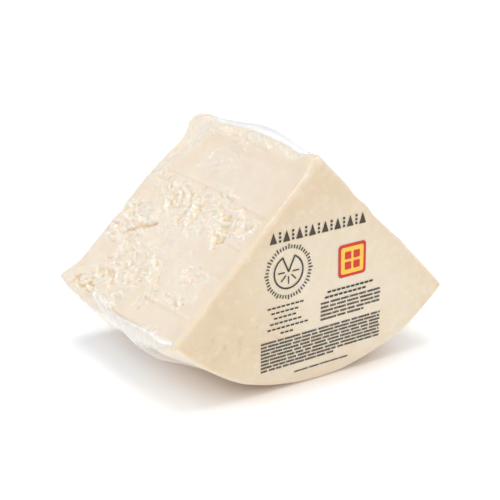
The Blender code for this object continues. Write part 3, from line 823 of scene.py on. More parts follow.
def back_edge(r):
    return (1.5 + 4.6 * np.exp(-((r - 8) / 6.0) ** 2) - 2.2 * np.exp(-((r - 24) / 9.0) ** 2)
            + 2.6 * ramp(30, 62, r) - 1.6 * np.exp(-((r - 88) / 3.5) ** 2)
            + 9.2 * ramp(130, 152, r))


def skin(s, y, t, film):
    """Points on the cheese (film False) or on the film around it, with their masks."""
    flat = sector_point(s, t)
    q0 = flat - np.array([0.0, WHEEL_R])
    r0 = np.linalg.norm(q0, axis=1)
    ang = np.degrees(np.arctan2(q0[:, 0], -q0[:, 1]))
    rest_of = EDGE_R + (SHARP_R - EDGE_R) * ramp(-38, -20, ang) * ramp(20, 34, r0) * (1 - ramp(20, 60, y))
    radius = (rest_of + (APEX_R - rest_of) * (1 - ramp(8, 22, r0))
              + (HEEL_EDGE_R - EDGE_R) * ramp(120, 140, r0)
              * (1 - ramp(-44, -34, ang)) * ramp(8, 30, y) * (1 - ramp(100, 135, y)))
    core = nearest_inside(flat, radius)
    core_y = np.clip(y, radius, DEPTH - radius)
    out = np.column_stack([flat[:, 0] - core[:, 0], y - core_y, flat[:, 1] - core[:, 1]])
    out /= np.maximum(np.linalg.norm(out, axis=1), 1e-9)[:, None]
    pos = np.column_stack([core[:, 0], core_y, core[:, 1]]) + out * radius[:, None]

    x, yy, z = pos.T
    qx, qz = x, z - WHEEL_R
    r = np.hypot(qx, qz)
    a = np.degrees(np.arctan2(qx, -qz))
    radial = np.column_stack([qx, 0 * qx, qz]) / np.maximum(r, 1e-6)[:, None]
    face = {
        "left": out @ np.array([N_L[0], 0, N_L[1]]),
        "right": out @ np.array([N_R[0], 0, N_R[1]]),
        "back": out[:, 1],
        "front": -out[:, 1],
        "heel": np.where(r > 60, (out * radial).sum(1), 0.0),
    }
    w = {k: np.clip(f, 0, 1) ** 3 for k, f in face.items()}
    total = np.maximum(sum(w.values()), 1.0)
    r_left = qx * D_L[0] + qz * D_L[1]
    r_right = qx * D_R[0] + qz * D_R[1]
    arc = (np.radians(a) + LEFT) * WHEEL_R
    where = {"left": (r_left, yy), "right": (r_right, yy), "back": (x + 120, z),
             "front": (x + 120, z), "heel": (arc, yy)}
    kind = "film" if film else "h"
    h = sum(w[k] * MAPS[k].at(kind, *where[k]) for k in w) / total
    mask = {m: sum(w[k] * MAPS[k].at(m, *where[k]) for k in w) / total
            for m in ("crumb", "cavity", "crest", "milk", "grey")}
    # nothing stands below the floor where the pack rests
    rest = window(-10, 10, a, 4) * w["heel"]
    h = h * (1 - rest)
    over = r_left + arc
    if film:
        reach = np.clip(w["left"] + w["heel"], 0, 1) * ramp(118, 126, over) * (1 - ramp(200, 212, over))
        h = h + reach * FOLDS.at("h", over, yy)
        mask["milk"] = np.maximum(mask["milk"], reach * FOLDS.at("milk", over, yy))
        # haze and long pleats of the film over the worn apex
        along = ramp(13, 22, yy) * (1 - ramp(110, 122, yy))
        taut = along * (1 - ramp(4.0, 6.0, r))
        fin = along * (1 - ramp(3.8, 5.2, r))
        free = ramp(1.5, 4.0, apex_film(yy) - apex_cheese(yy))
        h = h * (1 - taut) + taut * (0.4 * free + np.maximum(h, 0.4) * (1 - free))
        pleat = lambda at, width: np.exp(-((r - at - 0.35 * np.sin(yy / 13.0)) / width) ** 2)
        mask["milk"] = np.maximum(mask["milk"], fin * (0.54 + 0.12 * (1 - ramp(30, 50, yy)) + 0.12 * pleat(2.6, 0.5) + 0.10 * pleat(1.0, 0.4))
                                  * (1 - 0.7 * np.exp(-((yy - 33) / 8.0) ** 2) * ramp(2.0, 3.2, r)))
        # painted highlight: a thin white line of milky film along the front edge of the left face, where the edge's
        # highlight falls
        edge_highlight = np.exp(-((yy - 2.8) / 0.55) ** 2) * ramp(0.5, 0.8, face["left"]) * ramp(9, 15, r)
        mask["milk"] = np.maximum(mask["milk"], edge_highlight * (0.34 - 0.29 * ramp(30, 82, r)))
        mask["grey"] = np.maximum(mask["grey"], fin * (0.90 - 0.75 * ramp(2.2, 3.4, r)))
        mask["crumb"] = mask["crumb"] * (1 - taut)
        mask["dull"] = ramp(28, 70, r) * np.exp(-(((yy - 1.5) / 2.6) ** 2)) * ramp(0.05, 0.4, face["left"])
    rise = swell(a, yy, 7.0 if film else 5.8) + round_out(a)
    if film:
        rise = rise + 3.4 * np.exp(-((over - 163) / 8.5) ** 2) * window(20, 60, yy, 11)
        rise = rise + 1.0 * np.exp(-((over - 158) / 7.5) ** 2) * window(66, 112, yy, 9)
    rise = rise + 1.5 * np.exp(-((over - 155) / 9.0) ** 2) * window(98, 136, yy, 10)
    pos = pos + out * h[:, None]
    up = w["heel"] + np.clip(w["left"], 0, 1) * ramp(122, 150, r) * (1 - w["heel"])
    pos = pos + radial * (rise * up)[:, None]

    # the ridge along the apex; the film follows it, or hangs free above it
    broad = np.exp(-(r / (9.5 + 1.5 * ramp(18, 40, yy))) ** 2)
    lift = apex_cheese(yy) * broad
    if film:
        lift = np.maximum(apex_film(yy) * np.exp(-(r / 5.6) ** 2), lift + 0.1 * broad)
    pos[:, 2] += lift * ramp(-2, 5, yy)
    deep = ramp(0.55, 1.0, yy / DEPTH)
    leftness = 1.0 - ramp(-44, -8, a)
    leftness = np.where(r < 14, np.maximum(leftness, 1 - ramp(6, 14, r)), leftness)
    pos[:, 1] += deep * leftness * back_edge(np.clip(r, 0, 150))
    pos[:, 1] += deep * (1 - leftness) * 2.0 * ramp(20, 150, r)
    if not film:
        pos = pos - out * FILM_GAP
        pos[:, 2] = np.maximum(pos[:, 2], FLAT_SPOT + 0.3)
    pos[:, 2] = np.maximum(pos[:, 2], FLAT_SPOT + 0.02)
    mask["front"] = w["front"]
    mask["left"] = w["left"]
    mask["heel"] = w["heel"]
    mask["x"], mask["z"], mask["r"], mask["y"] = x, z, r, yy
    mask["s"] = r_left + arc
    return pos, mask


def mesh_object(name, verts, quads, tris):
    mesh = bpy.data.meshes.new(name)
    verts = np.asarray(verts, np.float32)
    loops = np.concatenate([np.asarray(quads).ravel(), np.asarray(tris).ravel()]).astype(np.int32)
    totals = np.concatenate([np.full(len(quads), 4), np.full(len(tris), 3)]).astype(np.int32)
    mesh.vertices.add(len(verts))
    mesh.vertices.foreach_set("co", verts.ravel())
    mesh.loops.add(len(loops))
    mesh.loops.foreach_set("vertex_index", loops)
    mesh.polygons.add(len(totals))
    mesh.polygons.foreach_set("loop_start", (np.cumsum(totals) - totals).astype(np.int32))
    mesh.polygons.foreach_set("loop_total", totals)
    mesh.update(calc_edges=True)
    mesh.shade_smooth()
    obj = bpy.data.objects.new(name, mesh)
    bpy.context.scene.collection.objects.link(obj)
    return obj


def paint(obj, name, values):
    layer = obj.data.attributes.new(name, "FLOAT", "POINT")
    layer.data.foreach_set("value", np.asarray(values, np.float32))


def wedge(name, film, cells, levels, budget):
    arc = WHEEL_R * (LEFT + RIGHT)
    parts = 2 ** levels
    gx = even_split(graded(cells[0], arc, 2.5, (0.0, 0.5)) / arc, parts)
    gy = even_split(graded(cells[1], DEPTH, 1.6, (0.0, 0.4)), parts)
    gz = even_split(graded(cells[2], WHEEL_R, 1.6, (0.0, 0.4)) / WHEEL_R, parts)
    form = lambda q: skin(gx[q[:, 0]], gy[q[:, 1]], gz[q[:, 2]], film)

    def shape(q):
        pos, mask = form(q)
        return np.column_stack([pos, 0.8 * mask["milk"]]) if film else pos
    used, quads, tris, normals = refined(cells, levels, shape, budget)
    pos, mask = form(used)
    obj = mesh_object(name, place(pos), quads, tris)
    obj.data.normals_split_custom_set_from_vertices(normals.tolist())
    return obj, mask


cheese, cmask = wedge("cheese", False, (24, 40, 42), 3, 156000)
film, fmask = wedge("clear_film", True, (24, 40, 42), 3, 152000)

# how pale or tan each spot is
x, z, y, r = cmask["x"], cmask["z"], cmask["y"], cmask["r"]
from_left = np.clip(-(x * N_L[0] + (z - WHEEL_R) * N_L[1]), 0, 99)
from_right = np.clip(-(x * N_R[0] + (z - WHEEL_R) * N_R[1]), 0, 99)
from_heel = np.clip(WHEEL_R - r, 0, 99)
low_left = np.exp(-((x + 60) / 36.0) ** 2 - ((z - 42) / 28.0) ** 2)
tone = (1.12 * np.exp(-from_left / 16.0) + 0.72 * np.exp(-from_right / 18.0) + 0.36 * np.exp(-from_heel / 10.0)
        + 1.00 * low_left + 0.50 * np.exp(-(r / 42.0) ** 2))
tone = cmask["front"] * np.clip(tone, 0, 1) + (0.37 + 0.20 * (1 - ramp(50, 80, r))) * cmask["left"] * np.exp(-np.clip(y, 0, 150) / 24.0)
tone = tone + 0.26 * cmask["left"] * np.exp(-((r - 12) / 6.0) ** 2) * window(15, 112, y, 8)
tone = tone + 0.18 * cmask["left"] * window(114, 150, y, 6) * window(48, 84, r, 8)
# painted highlight: the top of the apex ridge is lightened, through its crest value
pale = ramp(11, 3, r) * ramp(16, 30, y) * (1 - ramp(112, 124, y))
# painted shade: the rounded front-left edge is darkened toward tan
tone = np.maximum(tone, 0.90 * np.exp(-(from_left + np.clip(y, 0, 99)) / 4.5))
paint(cheese, "tone", tone)
paint(cheese, "stain", cmask["front"] * np.clip(low_left + 0.35 * np.exp(-from_left / 12.0), 0, 1))
paint(cheese, "crumb", cmask["crumb"])
paint(cheese, "cavity", cmask["cavity"])
# raised crests, with the apex ridge's top, carry a painted highlight
paint(cheese, "crest", np.clip(cmask["crest"] + 0.75 * pale, 0, 1))
paint(cheese, "front", cmask["front"])
# painted light: where the apex ridge and the back lump are lightened and warmed
wear_and_painted_light = ramp(12, 4, r) * ramp(14, 28, y) * (1 - ramp(112, 124, y))
wear_and_painted_light = wear_and_painted_light + 0.7 * cmask["left"] * ramp(112, 124, y) * (1 - ramp(22, 44, r))
paint(cheese, "wear_and_painted_light", np.clip(wear_and_painted_light, 0, 1))
paint(film, "milk", fmask["milk"])
paint(film, "crumb", fmask["crumb"])
paint(film, "grey", fmask["grey"])
paint(film, "dull", fmask["dull"])


# ------------------------------------------------------------------ materials
def new_material(name):
    m = bpy.data.materials.new(name)
    m.use_nodes = True
    t = m.node_tree
    t.nodes.clear()
    out = t.nodes.new("ShaderNodeOutputMaterial")
    return m, t, out


def node(t, kind, **values):
    n = t.nodes.new(kind)
    for k, v in values.items():
        if k in n.inputs:
            n.inputs[k].default_value = v
        else:
            setattr(n, k, v)
    return n


def attribute(t, name):
    return node(t, "ShaderNodeAttribute", attribute_name=name).outputs["Fac"]


def mix_colour(t, factor, a, b, blend="MIX"):
    n = t.nodes.new("ShaderNodeMix")
    n.data_type = "RGBA"
    n.blend_type = blend
    for socket, value in ((n.inputs[0], factor), (n.inputs[6], a), (n.inputs[7], b)):
        if hasattr(value, "links"):
            t.links.new(value, socket)
        else:
            socket.default_value = value
    return n.outputs[2]


def maths(t, op, a, b=None, clamp=False):
    n = t.nodes.new("ShaderNodeMath")
    n.operation = op
    n.use_clamp = clamp
    for socket, value in ((n.inputs[0], a), (n.inputs[1], b)):
        if value is None:
            continue
        if hasattr(value, "links"):
            t.links.new(value, socket)
        else:
            socket.default_value = value
    return n.outputs[0]


def remap(t, value, a, b, c=0.0, d=1.0):
    n = t.nodes.new("ShaderNodeMapRange")
    n.interpolation_type = "SMOOTHSTEP"
    t.links.new(value, n.inputs["Value"])
    for k, v in (("From Min", a), ("From Max", b), ("To Min", c), ("To Max", d)):
        n.inputs[k].default_value = v
    return n.outputs["Result"]


def noise(t, coord, size_mm, detail=3.0, rough_=0.55, distort=0.0):
    n = t.nodes.new("ShaderNodeTexNoise")
    t.links.new(coord, n.inputs["Vector"])
    n.inputs["Scale"].default_value = 1000.0 / size_mm
    n.inputs["Detail"].default_value = detail
    n.inputs["Roughness"].default_value = rough_
    n.inputs["Distortion"].default_value = distort
    return n.outputs["Fac"]


IVORY = (0.827, 0.733, 0.618, 1)
FRONT = (0.811, 0.727, 0.590, 1)
TAN = (0.735, 0.585, 0.395, 1)
HOLLOW_SHADE = (0.770, 0.595, 0.350, 1)


OLIVE, RUST = (0.60, 0.48, 0.28, 1), (0.66, 0.40, 0.22, 1)
SPECKS = ((-82, 47, 2.6, 0.55, OLIVE), (-73, 40, 3.4, 0.55, OLIVE), (-48, 48, 2.4, 0.45, OLIVE), (-66, 52, 2.2, 0.4, OLIVE),
          (-6, 129, 1.3, 0.45, RUST), (-16, 115, 1.2, 0.45, RUST), (10, 95, 1.1, 0.4, RUST), (62, 70, 1.1, 0.35, RUST))


def ridged(t, pos, size_mm, detail=2.0, distort=0.9):
    """Thin winding ridges, 0 between them and 1 along them."""
    n = t.nodes.new("ShaderNodeTexNoise")
    n.noise_type = "RIDGED_MULTIFRACTAL"
    n.normalize = False
    t.links.new(pos, n.inputs["Vector"])
    for k, v in (("Scale", 1000.0 / size_mm), ("Detail", detail), ("Roughness", 0.6),
                 ("Lacunarity", 2.1), ("Offset", 1.0), ("Gain", 1.0), ("Distortion", distort)):
        n.inputs[k].default_value = v
    return remap(t, n.outputs["Fac"], 0.75, 1.85)


def drawn_out(t, pos):
    """Coordinates in which the curds are drawn out from front to back."""
    n = t.nodes.new("ShaderNodeMapping")
    n.inputs["Scale"].default_value = (1.0, 0.72, 1.0)
    t.links.new(pos, n.inputs["Vector"])
    return n.outputs[0]


def cheese_material():
    m, t, out = new_material("cheese_paste")
    p = node(t, "ShaderNodeBsdfPrincipled")
    t.links.new(p.outputs[0], out.inputs["Surface"])
    pos = node(t, "ShaderNodeTexCoord").outputs["Object"]
    crumb, cavity = attribute(t, "crumb"), attribute(t, "cavity")
    front, tone = attribute(t, "front"), attribute(t, "tone")
    threads = ridged(t, drawn_out(t, pos), 7.4, 2.0, 1.0)
    base = mix_colour(t, front, IVORY, FRONT)
    base = mix_colour(t, maths(t, "MULTIPLY", tone, 0.80), base, TAN)
    # faint clouds and veins in the paste
    cloud = remap(t, noise(t, pos, 26, 5, 0.62, 0.9), 0.40, 0.66, 0.0, 0.34)
    base = mix_colour(t, cloud, base, (0.765, 0.635, 0.465, 1))
    pale = remap(t, noise(t, pos, 9, 5, 0.65, 1.2), 0.50, 0.70, 0.0, 0.38)
    base = mix_colour(t, pale, base, (0.885, 0.800, 0.675, 1))
    veins = remap(t, noise(t, pos, 15, 6, 0.72, 2.2), 0.47, 0.50, 0.0, 1.0)
    veins = maths(t, "MULTIPLY", veins, remap(t, noise(t, pos, 15, 6, 0.72, 2.2), 0.53, 0.50, 0.0, 1.0))
    base = mix_colour(t, maths(t, "MULTIPLY", veins, maths(t, "MULTIPLY", front, 0.14)), base, (0.70, 0.56, 0.38, 1))
    # dull olive smudges low on the front
    smudge = remap(t, noise(t, pos, 16, 5, 0.62, 1.0), 0.52, 0.68, 0.0, 0.42)
    base = mix_colour(t, maths(t, "MULTIPLY", smudge, attribute(t, "stain")), base, (0.610, 0.520, 0.350, 1))
    # torn paste: partly its own tan and pale, partly painted shade in the hollows of its threads and a painted
    # highlight along them
    torn = mix_colour(t, threads, (0.818, 0.716, 0.568, 1), (0.918, 0.893, 0.850, 1))
    base = mix_colour(t, maths(t, "MULTIPLY", crumb, 0.80, True), base, torn)
    # painted shade: hollows darkened toward tan
    base = mix_colour(t, remap(t, cavity, 0.06, 0.62, 0.0, 0.80), base, HOLLOW_SHADE)
    # painted highlight: raised crests lightened
    base = mix_colour(t, maths(t, "MULTIPLY", attribute(t, "crest"), 0.52), base, (0.915, 0.878, 0.815, 1))
    # painted light: the apex ridge and the back lump are made lighter and warmer
    base = mix_colour(t, maths(t, "MULTIPLY", attribute(t, "wear_and_painted_light"), 0.55), base, (0.925, 0.825, 0.670, 1))
    # small brown and orange flecks, few
    v = node(t, "ShaderNodeTexVoronoi", Scale=1000.0 / 17.0)
    t.links.new(pos, v.inputs["Vector"])
    fleck = remap(t, v.outputs["Distance"], 0.055, 0.02, 0.0, 0.42)
    chosen = remap(t, noise(t, pos, 31, 1), 0.56, 0.60)
    base = mix_colour(t, maths(t, "MULTIPLY", fleck, chosen), base, (0.62, 0.36, 0.16, 1))
    flat = node(t, "ShaderNodeMapping")
    flat.inputs["Scale"].default_value = (1.0, 0.0, 1.0)
    t.links.new(pos, flat.inputs["Vector"])
    for x_, z_, size, strength, colour in SPECKS:
        gap = node(t, "ShaderNodeVectorMath", operation="DISTANCE")
        t.links.new(flat.outputs[0], gap.inputs[0])
        spot = place((x_, 0, z_))
        gap.inputs[1].default_value = (spot[0], 0, spot[2])
        ragged = maths(t, "ADD", gap.outputs["Value"], maths(t, "MULTIPLY", noise(t, pos, 3.2, 3), 0.0016 * size))
        shade = remap(t, ragged, 0.0018 * size, 0.0006 * size, 0.0, strength)
        base = mix_colour(t, maths(t, "MULTIPLY", shade, front), base, colour)
    t.links.new(base, p.inputs["Base Color"])
    p.inputs["Subsurface Weight"].default_value = 1.0
    p.inputs["Subsurface Radius"].default_value = (1.0, 0.74, 0.46)
    p.inputs["Subsurface Scale"].default_value = 0.0014
    p.inputs["IOR"].default_value = 1.42
    p.inputs["Specular IOR Level"].default_value = 0.30
    rough_map = remap(t, noise(t, pos, 3.0, 3), 0.3, 0.7, 0.48, 0.62)
    t.links.new(rough_map, p.inputs["Roughness"])
    # grain of the paste, and the fine threads of the torn parts
    fine = noise(t, pos, 1.1, 3, 0.6)
    mid = noise(t, pos, 3.2, 3, 0.55, 0.3)
    grain = maths(t, "ADD", maths(t, "MULTIPLY", fine, 0.12), maths(t, "MULTIPLY", mid, 0.20))
    height = maths(t, "ADD", grain, maths(t, "MULTIPLY", threads, maths(t, "MULTIPLY", crumb, 0.9)))
    bump = node(t, "ShaderNodeBump", Strength=1.0, Distance=0.00042)
    t.links.new(height, bump.inputs["Height"])
    t.links.new(bump.outputs[0], p.inputs["Normal"])
    return m


def film_material():
    m, t, out = new_material("shrink_film")
    pos = node(t, "ShaderNodeTexCoord").outputs["Object"]
    clear = node(t, "ShaderNodeBsdfTransparent", Color=(0.985, 0.985, 0.985, 1))
    shine = node(t, "ShaderNodeBsdfGlossy", Color=(1, 1, 1, 1), Roughness=0.17)
    bump = node(t, "ShaderNodeBump", Strength=1.0, Distance=0.00030)
    milk = attribute(t, "milk")
    bare = maths(t, "SUBTRACT", 1.0, milk, True)
    threads = maths(t, "MULTIPLY", ridged(t, drawn_out(t, pos), 7.4, 2.0, 1.0), maths(t, "MULTIPLY", attribute(t, "crumb"), maths(t, "MULTIPLY", bare, 0.75)))
    height = maths(t, "ADD", maths(t, "MULTIPLY", noise(t, pos, 4.0, 2, 0.5, 0.5), 0.16), threads)
    t.links.new(height, bump.inputs["Height"])
    t.links.new(bump.outputs[0], shine.inputs["Normal"])
    grazing = node(t, "ShaderNodeLayerWeight", Blend=0.5)
    share = maths(t, "ADD", maths(t, "MULTIPLY", maths(t, "POWER", grazing.outputs["Facing"], 5.0), 0.80), 0.040)
    share = maths(t, "MULTIPLY", share, maths(t, "SUBTRACT", 1.0, maths(t, "MULTIPLY", attribute(t, "dull"), 0.75)))
    glass = t.nodes.new("ShaderNodeMixShader")
    t.links.new(share, glass.inputs[0])
    t.links.new(clear.outputs[0], glass.inputs[1])
    t.links.new(shine.outputs[0], glass.inputs[2])
    white = node(t, "ShaderNodeBsdfDiffuse")
    through = node(t, "ShaderNodeBsdfTranslucent")
    cloudy = mix_colour(t, maths(t, "MULTIPLY", attribute(t, "crumb"), 0.9, True), (0.985, 0.985, 0.978, 1), (0.965, 0.948, 0.920, 1))
    cloudy = mix_colour(t, attribute(t, "grey"), cloudy, (0.745, 0.755, 0.785, 1))
    t.links.new(cloudy, white.inputs["Color"])
    t.links.new(cloudy, through.inputs["Color"])
    haze = t.nodes.new("ShaderNodeMixShader")
    haze.inputs[0].default_value = 0.18
    t.links.new(white.outputs[0], haze.inputs[1])
    t.links.new(through.outputs[0], haze.inputs[2])
    streak = remap(t, noise(t, pos, 5.0, 2, 0.5, 1.0), 0.30, 0.70, 0.86, 1.0)
    final = t.nodes.new("ShaderNodeMixShader")
    t.links.new(maths(t, "MULTIPLY", milk, streak, True), final.inputs[0])
    t.links.new(glass.outputs[0], final.inputs[1])
    t.links.new(haze.outputs[0], final.inputs[2])
    t.links.new(final.outputs[0], out.inputs["Surface"])
    return m


cheese.data.materials.append(cheese_material())
film.data.materials.append(film_material())

# ------------------------------------------------------------------ print on the front
class Print:
    """Flat shapes laid on the front film, as one closed mesh of thin slabs."""
    LIFT, THICK = 0.03, 0.07

    def __init__(self, level=0):
        self.verts, self.faces, self.level = [], [], level

    def shape(self, outline):
        """A convex outline in (x, z) mm, counted so that it faces the front."""
        pts = np.asarray(outline, float)
        area = np.sum(pts[:, 0] * np.roll(pts[:, 1], -1) - np.roll(pts[:, 0], -1) * pts[:, 1])
        if area < 0:
            pts = pts[::-1]
        base = -MAPS["front"].at("film", pts[:, 0] + 120, pts[:, 1])
        near = base - self.LIFT - self.THICK * (1 + self.level)
        far = base + 0.05
        k, n = len(self.verts), len(pts)
        self.verts += [(x, y, z) for (x, z), y in zip(pts, near)]
        self.verts += [(x, y, z) for (x, z), y in zip(pts, far)]
        self.faces.append(tuple(range(k, k + n)))
        self.faces.append(tuple(range(k + 2 * n - 1, k + n - 1, -1)))
        for i in range(n):
            j = (i + 1) % n
            self.faces.append((k + i, k + n + i, k + n + j, k + j))

    def bar(self, x0, z0, x1, z1, width):
        """A straight stroke with square ends, in pieces that follow the film."""
        length = math.hypot(x1 - x0, z1 - z0)
        n = max(int(length / 5.0), 1)
        ux, uz = (x1 - x0) / length, (z1 - z0) / length
        px, pz = -uz * width / 2, ux * width / 2
        for i in range(n):
            a, b = i / n, (i + 1) / n
            ax, az = x0 + (x1 - x0) * a, z0 + (z1 - z0) * a
            bx, bz = x0 + (x1 - x0) * b, z0 + (z1 - z0) * b
            self.shape(((ax - px, az - pz), (bx - px, bz - pz), (bx + px, bz + pz), (ax + px, az + pz)))

    def arc(self, cx, cz, radius, a0, a1, width):
        """A curved stroke, angles in degrees."""
        n = max(int(abs(a1 - a0) * math.pi / 180 * radius / 1.6), 1)
        for i in range(n):
            u, v = [math.radians(a0 + (a1 - a0) * k / n) for k in (i, i + 1)]
            r0, r1 = radius - width / 2, radius + width / 2
            self.shape(((cx + r0 * math.cos(u), cz + r0 * math.sin(u)), (cx + r1 * math.cos(u), cz + r1 * math.sin(u)),
                        (cx + r1 * math.cos(v), cz + r1 * math.sin(v)), (cx + r0 * math.cos(v), cz + r0 * math.sin(v))))

    def dashes(self, cx, cz, radius, dash, gap, width):
        n = int(round(2 * math.pi * radius / (dash + gap)))
        for i in range(n):
            a = 360.0 * i / n
            self.arc(cx, cz, radius, a, a + 360.0 * dash / (2 * math.pi * radius), width)

    def disc(self, cx, cz, radius, sides=40):
        self.shape([(cx + radius * math.cos(2 * math.pi * k / sides),
                     cz + radius * math.sin(2 * math.pi * k / sides)) for k in range(sides)])

    def plate(self, cx, cz, half, corner, turn=0.0):
        """A square with round corners."""
        pts = []
        for q in range(4):
            for k in range(7):
                a = math.radians(90 * q + 90 * k / 6)
                sx, sz = (1, -1, -1, 1)[q], (1, 1, -1, -1)[q]
                pts.append((sx * (half - corner) + corner * math.cos(a), sz * (half - corner) + corner * math.sin(a)))
        c, sn = math.cos(math.radians(turn)), math.sin(math.radians(turn))
        self.shape([(cx + x * c - z * sn, cz + x * sn + z * c) for x, z in pts])

    def ticks(self, x0, x1, z, height, rng, slope=0.0, weight=0.55):
        """A row of small plain blocks in groups."""
        x = x0
        while x < x1 - 0.8:
            end = min(x + rng.uniform(4.0, 13.0), x1)
            while x < end - 0.5:
                w = min(rng.uniform(0.6, 1.3) * height * weight, end - x)
                zz = z + (x - x0) * slope
                self.shape(((x, zz), (x + w, zz + w * slope), (x + w, zz + height + w * slope), (x, zz + height)))
                x += w + 0.26 * height
            x = end + 0.75 * height

    def ruled(self, x0, x1, z, dash, gap, height, slope=0.0):
        """A row of even dashes."""
        x = x0
        while x + dash <= x1:
            zz = z + (x - x0) * slope
            self.bar(x, zz, x + dash, zz + dash * slope, height)
            x += dash + gap

    def build(self, name, material):
        mesh = bpy.data.meshes.new(name)
        mesh.from_pydata([tuple(v) for v in place(self.verts)], [], self.faces)
        mesh.update()
        mesh.materials.append(material)
        obj = bpy.data.objects.new(name, mesh)
        bpy.context.scene.collection.objects.link(obj)
        return obj


def ink_material(name, colour, wear_and_painted_light):
    m, t, out = new_material(name)
    p = node(t, "ShaderNodeBsdfPrincipled", Roughness=0.5)
    p.inputs["Specular IOR Level"].default_value = 0.25
    t.links.new(p.outputs[0], out.inputs["Surface"])
    pos = node(t, "ShaderNodeTexCoord").outputs["Object"]
    patch = remap(t, noise(t, pos, 3.5, 3, 0.6), 0.42, 0.75, 0.0, 0.5)
    t.links.new(mix_colour(t, patch, colour, wear_and_painted_light), p.inputs["Base Color"])
    bump = node(t, "ShaderNodeBump", Strength=0.15, Distance=0.0001)
    t.links.new(noise(t, pos, 0.8, 2), bump.inputs["Height"])
    t.links.new(bump.outputs[0], p.inputs["Normal"])
    return m


def make_print():
    rng = np.random.default_rng(8)
    ink, red, yellow = Print(), Print(), Print(1)
    slope = 0.012
    # a frieze of solid wedges and stacked squares across the top
    x, height = -39.5, 7.4
    while x < 33:
        zz = 100.4 + slope * (x + 40)
        ink.shape(((x, zz), (x + 5.4, zz + 0.05), (x + 2.7, zz + height)))
        if x + 10 < 33:
            for k in range(3):
                up = zz + 0.3 + 2.6 * k
                ink.shape(((x + 6.9, up), (x + 8.5, up), (x + 8.5, up + 1.6), (x + 6.9, up + 1.6)))
        x += 10.0
    # a wheel with a wedge cut from it, in a ring of short rays
    cx, cz = -25.0, 80.0
    for k in range(48):
        u = math.radians(7.5 * k)
        far = 17.8 if k % 4 else 18.6
        ink.bar(cx + 15.4 * math.cos(u), cz + 15.4 * math.sin(u), cx + far * math.cos(u), cz + far * math.sin(u), 0.85)
    ink.arc(cx, cz, 11.0, 115, 425, 1.1)
    for a in (65, 115):
        u = math.radians(a)
        ink.bar(cx, cz, cx + 11.4 * math.cos(u), cz + 11.4 * math.sin(u), 1.1)
    for a in (180, 225, 270, 315, 360):
        u = math.radians(a)
        ink.bar(cx + 3.0 * math.cos(u), cz + 3.0 * math.sin(u), cx + 8.0 * math.cos(u), cz + 8.0 * math.sin(u), 0.85)
    # a red and yellow badge
    bx, bz = 25.5, 78.0
    lean = math.degrees(math.atan(slope))
    red.plate(bx, bz, 11.2, 2.6, lean)
    yellow.plate(bx, bz, 9.1, 1.6, lean)
    badge = Print(2)
    for u, v in ((3.5, 3.5), (-3.5, 3.5), (-3.5, -3.5), (3.5, -3.5)):
        badge.plate(bx + u - v * slope, bz + v + u * slope, 2.6, 0.6, lean)
    # rows of dashes and of small blocks
    for z0, x0, x1 in ((59.3, 6, 44), (55.9, 4, 40)):
        ink.ruled(x0, x1, z0, 2.9, 0.9, 1.35, slope)
    for z0, x0, x1 in ((57.6, -41, -10), (54.0, -38, -14), (50.4, -36, -17), (46.8, -39, -13), (43.2, -41, -9),
                       (39.6, -31, -20)):
        ink.ruled(x0, x1, z0, 2.6, 1.0, 1.05, slope)
    for k in range(5):
        ink.ticks(0.8, 50 - (14 if k == 4 else 0), 51.6 - 2.75 * k, 1.35, rng, slope)
    for k in range(9):
        ink.ticks(-46, 50 - (38 if k == 8 else 0), 34.2 - 2.35 * k, 1.25, rng, slope, 0.75)
    ink.ticks(-20, 24, 9.6, 0.9, rng, slope)
    dark = ink_material("ink_dark", (0.062, 0.046, 0.034, 1), (0.120, 0.092, 0.068, 1))
    deep_red = ink_material("ink_red", (0.60, 0.040, 0.030, 1), (0.66, 0.075, 0.045, 1))
    gold = ink_material("ink_yellow", (0.83, 0.55, 0.075, 1), (0.86, 0.62, 0.16, 1))
    return [ink.build("print_dark", dark), red.build("print_red_plate", deep_red),
            yellow.build("print_yellow_plate", gold), badge.build("print_red_squares", deep_red)]


prints = make_print()
for piece in prints:
    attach(piece, "root")

for piece in (cheese, film):
    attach(piece, "root")
    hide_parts(NODE)


# ------------------------------------------------------------------ stage, light and camera
def stage_floor():
    bpy.ops.mesh.primitive_plane_add(size=14, location=(0, 0, 0))
    floor = bpy.context.object
    floor.name = "studio_floor"
    m, t, out = new_material("studio_white")
    split = t.nodes.new("ShaderNodeSeparateXYZ")
    t.links.new(node(t, "ShaderNodeTexCoord").outputs["Object"], split.inputs[0])
    # painted shadow: under the wedge the floor is darker and warmer, and glows less
    across = remap(t, maths(t, "ABSOLUTE", split.outputs["X"]), 0.03, 0.096, 1.0, 0.0)
    along = remap(t, maths(t, "ABSOLUTE", split.outputs["Y"]), 0.060, 0.100, 1.0, 0.0)
    under = maths(t, "MULTIPLY", across, along)
    p = node(t, "ShaderNodeBsdfDiffuse")
    t.links.new(mix_colour(t, under, (0.80, 0.80, 0.80, 1), (0.80, 0.66, 0.54, 1)), p.inputs["Color"])
    e = node(t, "ShaderNodeEmission")
    seen = t.nodes.new("ShaderNodeLightPath").outputs["Is Camera Ray"]
    # the shade on the left is cool, the rest warm
    behind = maths(t, "SUBTRACT", maths(t, "MULTIPLY", split.outputs["Y"], 0.90), maths(t, "MULTIPLY", split.outputs["X"], 0.44))
    shade = mix_colour(t, remap(t, behind, 0.0, 0.055), (0.985, 0.955, 0.935, 1), (0.86, 0.955, 1.09, 1))
    t.links.new(mix_colour(t, seen, (0.97, 0.96, 0.94, 1), shade), e.inputs["Color"])
    # painted shadow: the glow drops under the wedge
    t.links.new(maths(t, "SUBTRACT", 0.262, maths(t, "MULTIPLY", under, 0.242)), e.inputs["Strength"])
    add = t.nodes.new("ShaderNodeAddShader")
    t.links.new(p.outputs[0], add.inputs[0])
    t.links.new(e.outputs[0], add.inputs[1])
    t.links.new(add.outputs[0], out.inputs["Surface"])
    floor.data.materials.append(m)


stage_floor()

